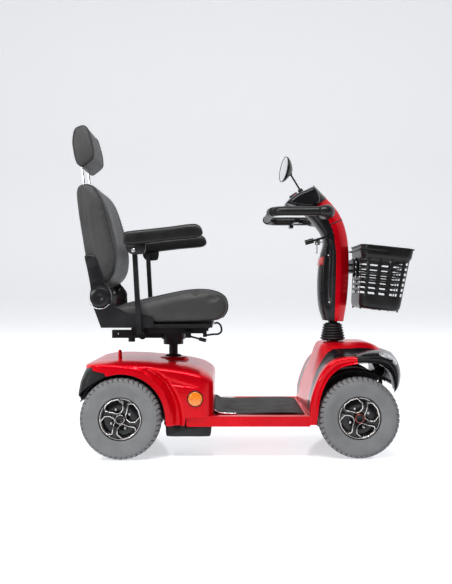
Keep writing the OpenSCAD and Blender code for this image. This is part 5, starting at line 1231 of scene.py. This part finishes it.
def back_held(points):
    """1 on the board side and along the seams and pleats."""
    x, y, z = points.T
    rear = np.interp(z, [0.70, 0.75, 0.828, 0.90, 1.022, 1.10],
                     [-0.626, -0.640, -0.660, -0.672, -0.691, -0.698])
    board = smooth_step(0.034, 0.016, x - rear)
    front = x > -0.625
    wings = np.exp(-((np.abs(y) - wing_y) / 0.006) ** 2) * front
    waist = np.zeros(len(x))
    for z_pleat in pleats:
        waist = np.maximum(waist, np.exp(-((z - z_pleat - 0.35 * (np.abs(y) - 0.07)**2) / 0.006) ** 2))
    return np.maximum.reduce([board, wings, waist * front * (np.abs(y) < wing_y)])


blow_up(back_pad, 0.006, 4.0, 0.009, back_held)
refine(back_pad)
fit(back_pad, "backrest", vinyl, "vinyl", "back_cushion")
back_tree = skin_of(back_pad)
for side_name, facing in sides:
    piping("back_piping_" + side_name, back_tree,
           [(x, facing * 0.206, z) for x, z in
            ((-0.600, 0.72), (-0.548, 0.77), (-0.540, 0.84), (-0.556, 0.91), (-0.575, 0.99), (-0.596, 1.06),
             (-0.625, 1.11), (-0.650, 1.12))], "backrest", 0.0022)

# Hinge covers: a tapered cover up the side of the back over a domed disc
cover_outline = [(-0.659, 0.820), (-0.654, 0.829), (-0.636, 0.831), (-0.618, 0.827), (-0.607, 0.803),
                 (-0.597, 0.775), (-0.586, 0.745), (-0.575, 0.715), (-0.560, 0.696), (-0.549, 0.672),
                 (-0.551, 0.642), (-0.570, 0.622), (-0.593, 0.616), (-0.618, 0.624), (-0.634, 0.645),
                 (-0.637, 0.668), (-0.634, 0.690), (-0.640, 0.730), (-0.650, 0.780)]
for side_name, facing in sides:
    cover = side_sections(around_loop(cover_outline),
                          facing * np.array([0.2140, 0.2235, 0.2265, 0.2280, 0.2285]),
                          (1, 1, 0.985, 0.955, 0.90), (-0.606, 0.720))
    fit(surface("hinge_cover_" + side_name, cover, around=True, ends=True), "backrest", satin_cover,
        "black_plastic")
    disc = [(0.0004, -0.0008), (0.0400, -0.0008), (0.0405, 0.0020), (0.0380, 0.0038), (0.0140, 0.0050),
            (0.0120, 0.0040), (0.0004, 0.0040)]
    seat = (hinge_x - 0.003, facing * (frame_high[1] + 0.0015), hinge_z - 0.005)
    fit(turned("hinge_disc_" + side_name, disc, seat, (0, facing, 0)), "backrest", satin_cover,
        "black_plastic")
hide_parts("back_frame")

# Headrest: a curved bolster with flat piped end panels
head_outline = around_loop([(-0.731, 1.325), (-0.722, 1.372), (-0.705, 1.385), (-0.682, 1.390),
                            (-0.664, 1.372), (-0.646, 1.312), (-0.640, 1.266), (-0.645, 1.246),
                            (-0.683, 1.214), (-0.699, 1.215), (-0.715, 1.233), (-0.727, 1.285)])
head_centre = np.array([-0.686, 1.302])
head_places = np.array([-1, -0.985, -0.94, -0.86, -0.6, -0.3, 0, 0.3, 0.6, 0.86, 0.94, 0.985, 1.0])
head_sizes = 0.92 + 0.08 * np.sqrt(np.clip(1 - np.abs(head_places) ** 14, 0, 1))
head_pad = surface("head_pad", side_sections(head_outline, head_places * 0.124, head_sizes, head_centre),
                   around=True, ends=True)


def head_held(points):
    """1 along the two end seams."""
    return np.exp(-((np.abs(points[:, 1]) - 0.108) / 0.006) ** 2)


blow_up(head_pad, 0.005, 4.0, 0.007, head_held)
refine(head_pad)
fit(head_pad, "head_support", vinyl, "vinyl", "headrest")
head_tree = skin_of(head_pad)
for side_name, facing in sides:
    ring = [(x, facing * 0.118, z) for x, z in head_centre + (head_outline[::6] - head_centre) * 1.02]
    piping("headrest_piping_" + side_name, head_tree, ring + ring[:1], "head_support", 0.0024, closed=True)


# ---- Armrests ----
# Self-skinned foam pads, near black and slightly glossy, bolted on the arm brackets. Each is a
# long rounded bar with a rolled nose and a fine moulded seam round its side.

arm_foam = Finish("self_skinned_foam", (0.007, 0.007, 0.0075), 0.36)
arm_foam.set({"Roughness": arm_foam.band(arm_foam.noise(25, 5), 0.3, 0.7, 0.32, 0.50)})
arm_foam.bump(arm_foam.cells(900) + 0.5 * arm_foam.noise(150, 3), 0.16, 0.0004)
pad_low, pad_high = np.array(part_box("armrest_pad_right"))
arm_line_top = [(-0.489, 0.915), (-0.470, 0.922), (-0.400, 0.930), (-0.300, 0.941), (-0.230, 0.9505),
                (-0.195, 0.951), (-0.176, 0.938), (-0.1685, 0.918)]
arm_line_low = [(-0.489, 0.872), (-0.470, 0.866), (-0.400, 0.872), (-0.300, 0.884), (-0.230, 0.890),
                (-0.195, 0.894), (-0.176, 0.902), (-0.1685, 0.914)]


def arm_pad(side_name, facing):
    """Rounded bar: an oval cross-section between a top and a bottom line."""
    at = np.linspace(0, 7, 90)
    top, low = curve_at(arm_line_top, at)[:, None], curve_at(arm_line_low, at)[:, None]
    turn = np.linspace(0, 2 * np.pi, 56, endpoint=False)[None, :, None]
    upright = np.sign(np.sin(turn)) * np.abs(np.sin(turn)) ** 0.62
    view = (top + low) / 2 + (top - low) / 2 * upright
    run = np.linspace(0, 1, 90)[:, None]
    girth = 0.0235 * np.sqrt(np.clip(1 - (2 * run - 1) ** 14, 0.03, 1))
    level = np.cos(turn[..., 0])
    seam = 1 - 0.05 * sum(np.exp(-((turn[..., 0] - place) / 0.07) ** 2) for place in (3.45, 5.98))
    y = girth * np.sign(level) * np.abs(level) ** 0.62 * seam
    middle = facing * (pad_high[1] - pad_low[1]) / 2 + facing * -pad_high[1]
    points = np.stack([view[..., 0], middle + y, view[..., 1]], axis=-1)
    return surface("arm_pad_" + side_name, points, around=True, ends=True)


for side_name, facing in sides:
    pad = fit(arm_pad(side_name, facing), "pad_" + side_name, arm_foam, "pad_foam",
              "armrest_pad_" + side_name)


# ---- Studio ----
# A pale floor that runs up into a backdrop, broad soft lamps, and the camera at eye height.

def studio():
    """Floor and backdrop as one bent sheet, wide enough for every side of the scooter."""
    depth = through([(-7, 0), (0, 0), (4.2, 0), (6.4, 0.5), (7.2, 2.4), (7.3, 6.5)], 60)
    points = spread_across(depth, np.linspace(-9, 9, 10))[..., [1, 0, 2]] - (0, 0, 0.0005)
    return surface("studio_floor", points)


floor_finish = Finish("pale_floor", (0.74, 0.75, 0.77), 0.14)
floor_y = floor_finish.node("ShaderNodeSeparateXYZ", {}, {0: floor_finish.place}, "Y")
glow_band = floor_finish.band(floor_y, -2.3, -1.5, 0.0, 1.0)
floor_finish.set({"Base Color": floor_finish.mix(glow_band, (0.30, 0.30, 0.31), (0.74, 0.75, 0.77)),
                  "Emission Color": floor_finish.mix(glow_band, (0.02, 0.02, 0.02), (0.94, 0.955, 0.985)),
                  "Emission Strength": 0.57})
floor = studio()
floor.data.materials.append(floor_finish.material)

world = bpy.data.worlds.new("studio_light")
world.use_nodes = True
bpy.context.scene.world = world
backing = world.node_tree.nodes["Background"]
ahead = world.node_tree.nodes.new("ShaderNodeTexCoord")
split = world.node_tree.nodes.new("ShaderNodeSeparateXYZ")
fade = world.node_tree.nodes.new("ShaderNodeMapRange")
world.node_tree.links.new(ahead.outputs["Generated"], split.inputs[0])
world.node_tree.links.new(split.outputs["Y"], fade.inputs["Value"])
for socket, value in ((1, -0.25), (2, 0.35), (3, 0.07), (4, 0.98)):
    fade.inputs[socket].default_value = value
world.node_tree.links.new(fade.outputs[0], backing.inputs["Strength"])
backing.inputs["Color"].default_value = (0.93, 0.94, 0.96, 1)
bpy.context.scene.view_settings.view_transform = "Standard"


def lamp(name, place, aim, size, power):
    """Square soft lamp that faces a point."""
    light = bpy.data.lights.new(name, "AREA")
    light.shape = "RECTANGLE"
    light.size, light.size_y = size
    light.energy = power
    holder = bpy.data.objects.new(name, light)
    bpy.context.scene.collection.objects.link(holder)
    holder.location = place
    holder.rotation_euler = (Vector(aim) - Vector(place)).to_track_quat("-Z", "Y").to_euler()


lamp("overhead_lamp", (-0.2, -1.7, 3.0), (-0.1, 0, 0.3), (2.6, 0.8), 96)
lamp("side_lamp", (-2.6, -2.9, 1.7), (-0.1, 0, 0.5), (0.8, 0.8), 44)
lamp("rear_lamp", (-3.0, 0.6, 1.3), (-0.2, 0, 0.5), (1.0, 1.4), 16)

eye = bpy.data.cameras.new("camera")
eye.sensor_width = 36
eye.sensor_fit = "VERTICAL"
eye.sensor_height = 36
eye.lens = 36 * 721 / 584
view = bpy.data.objects.new("camera", eye)
bpy.context.scene.collection.objects.link(view)
view.location = (-0.075, -3.2, 0.677)
view.rotation_euler = (np.pi / 2, 0, 0)
bpy.context.scene.camera = view
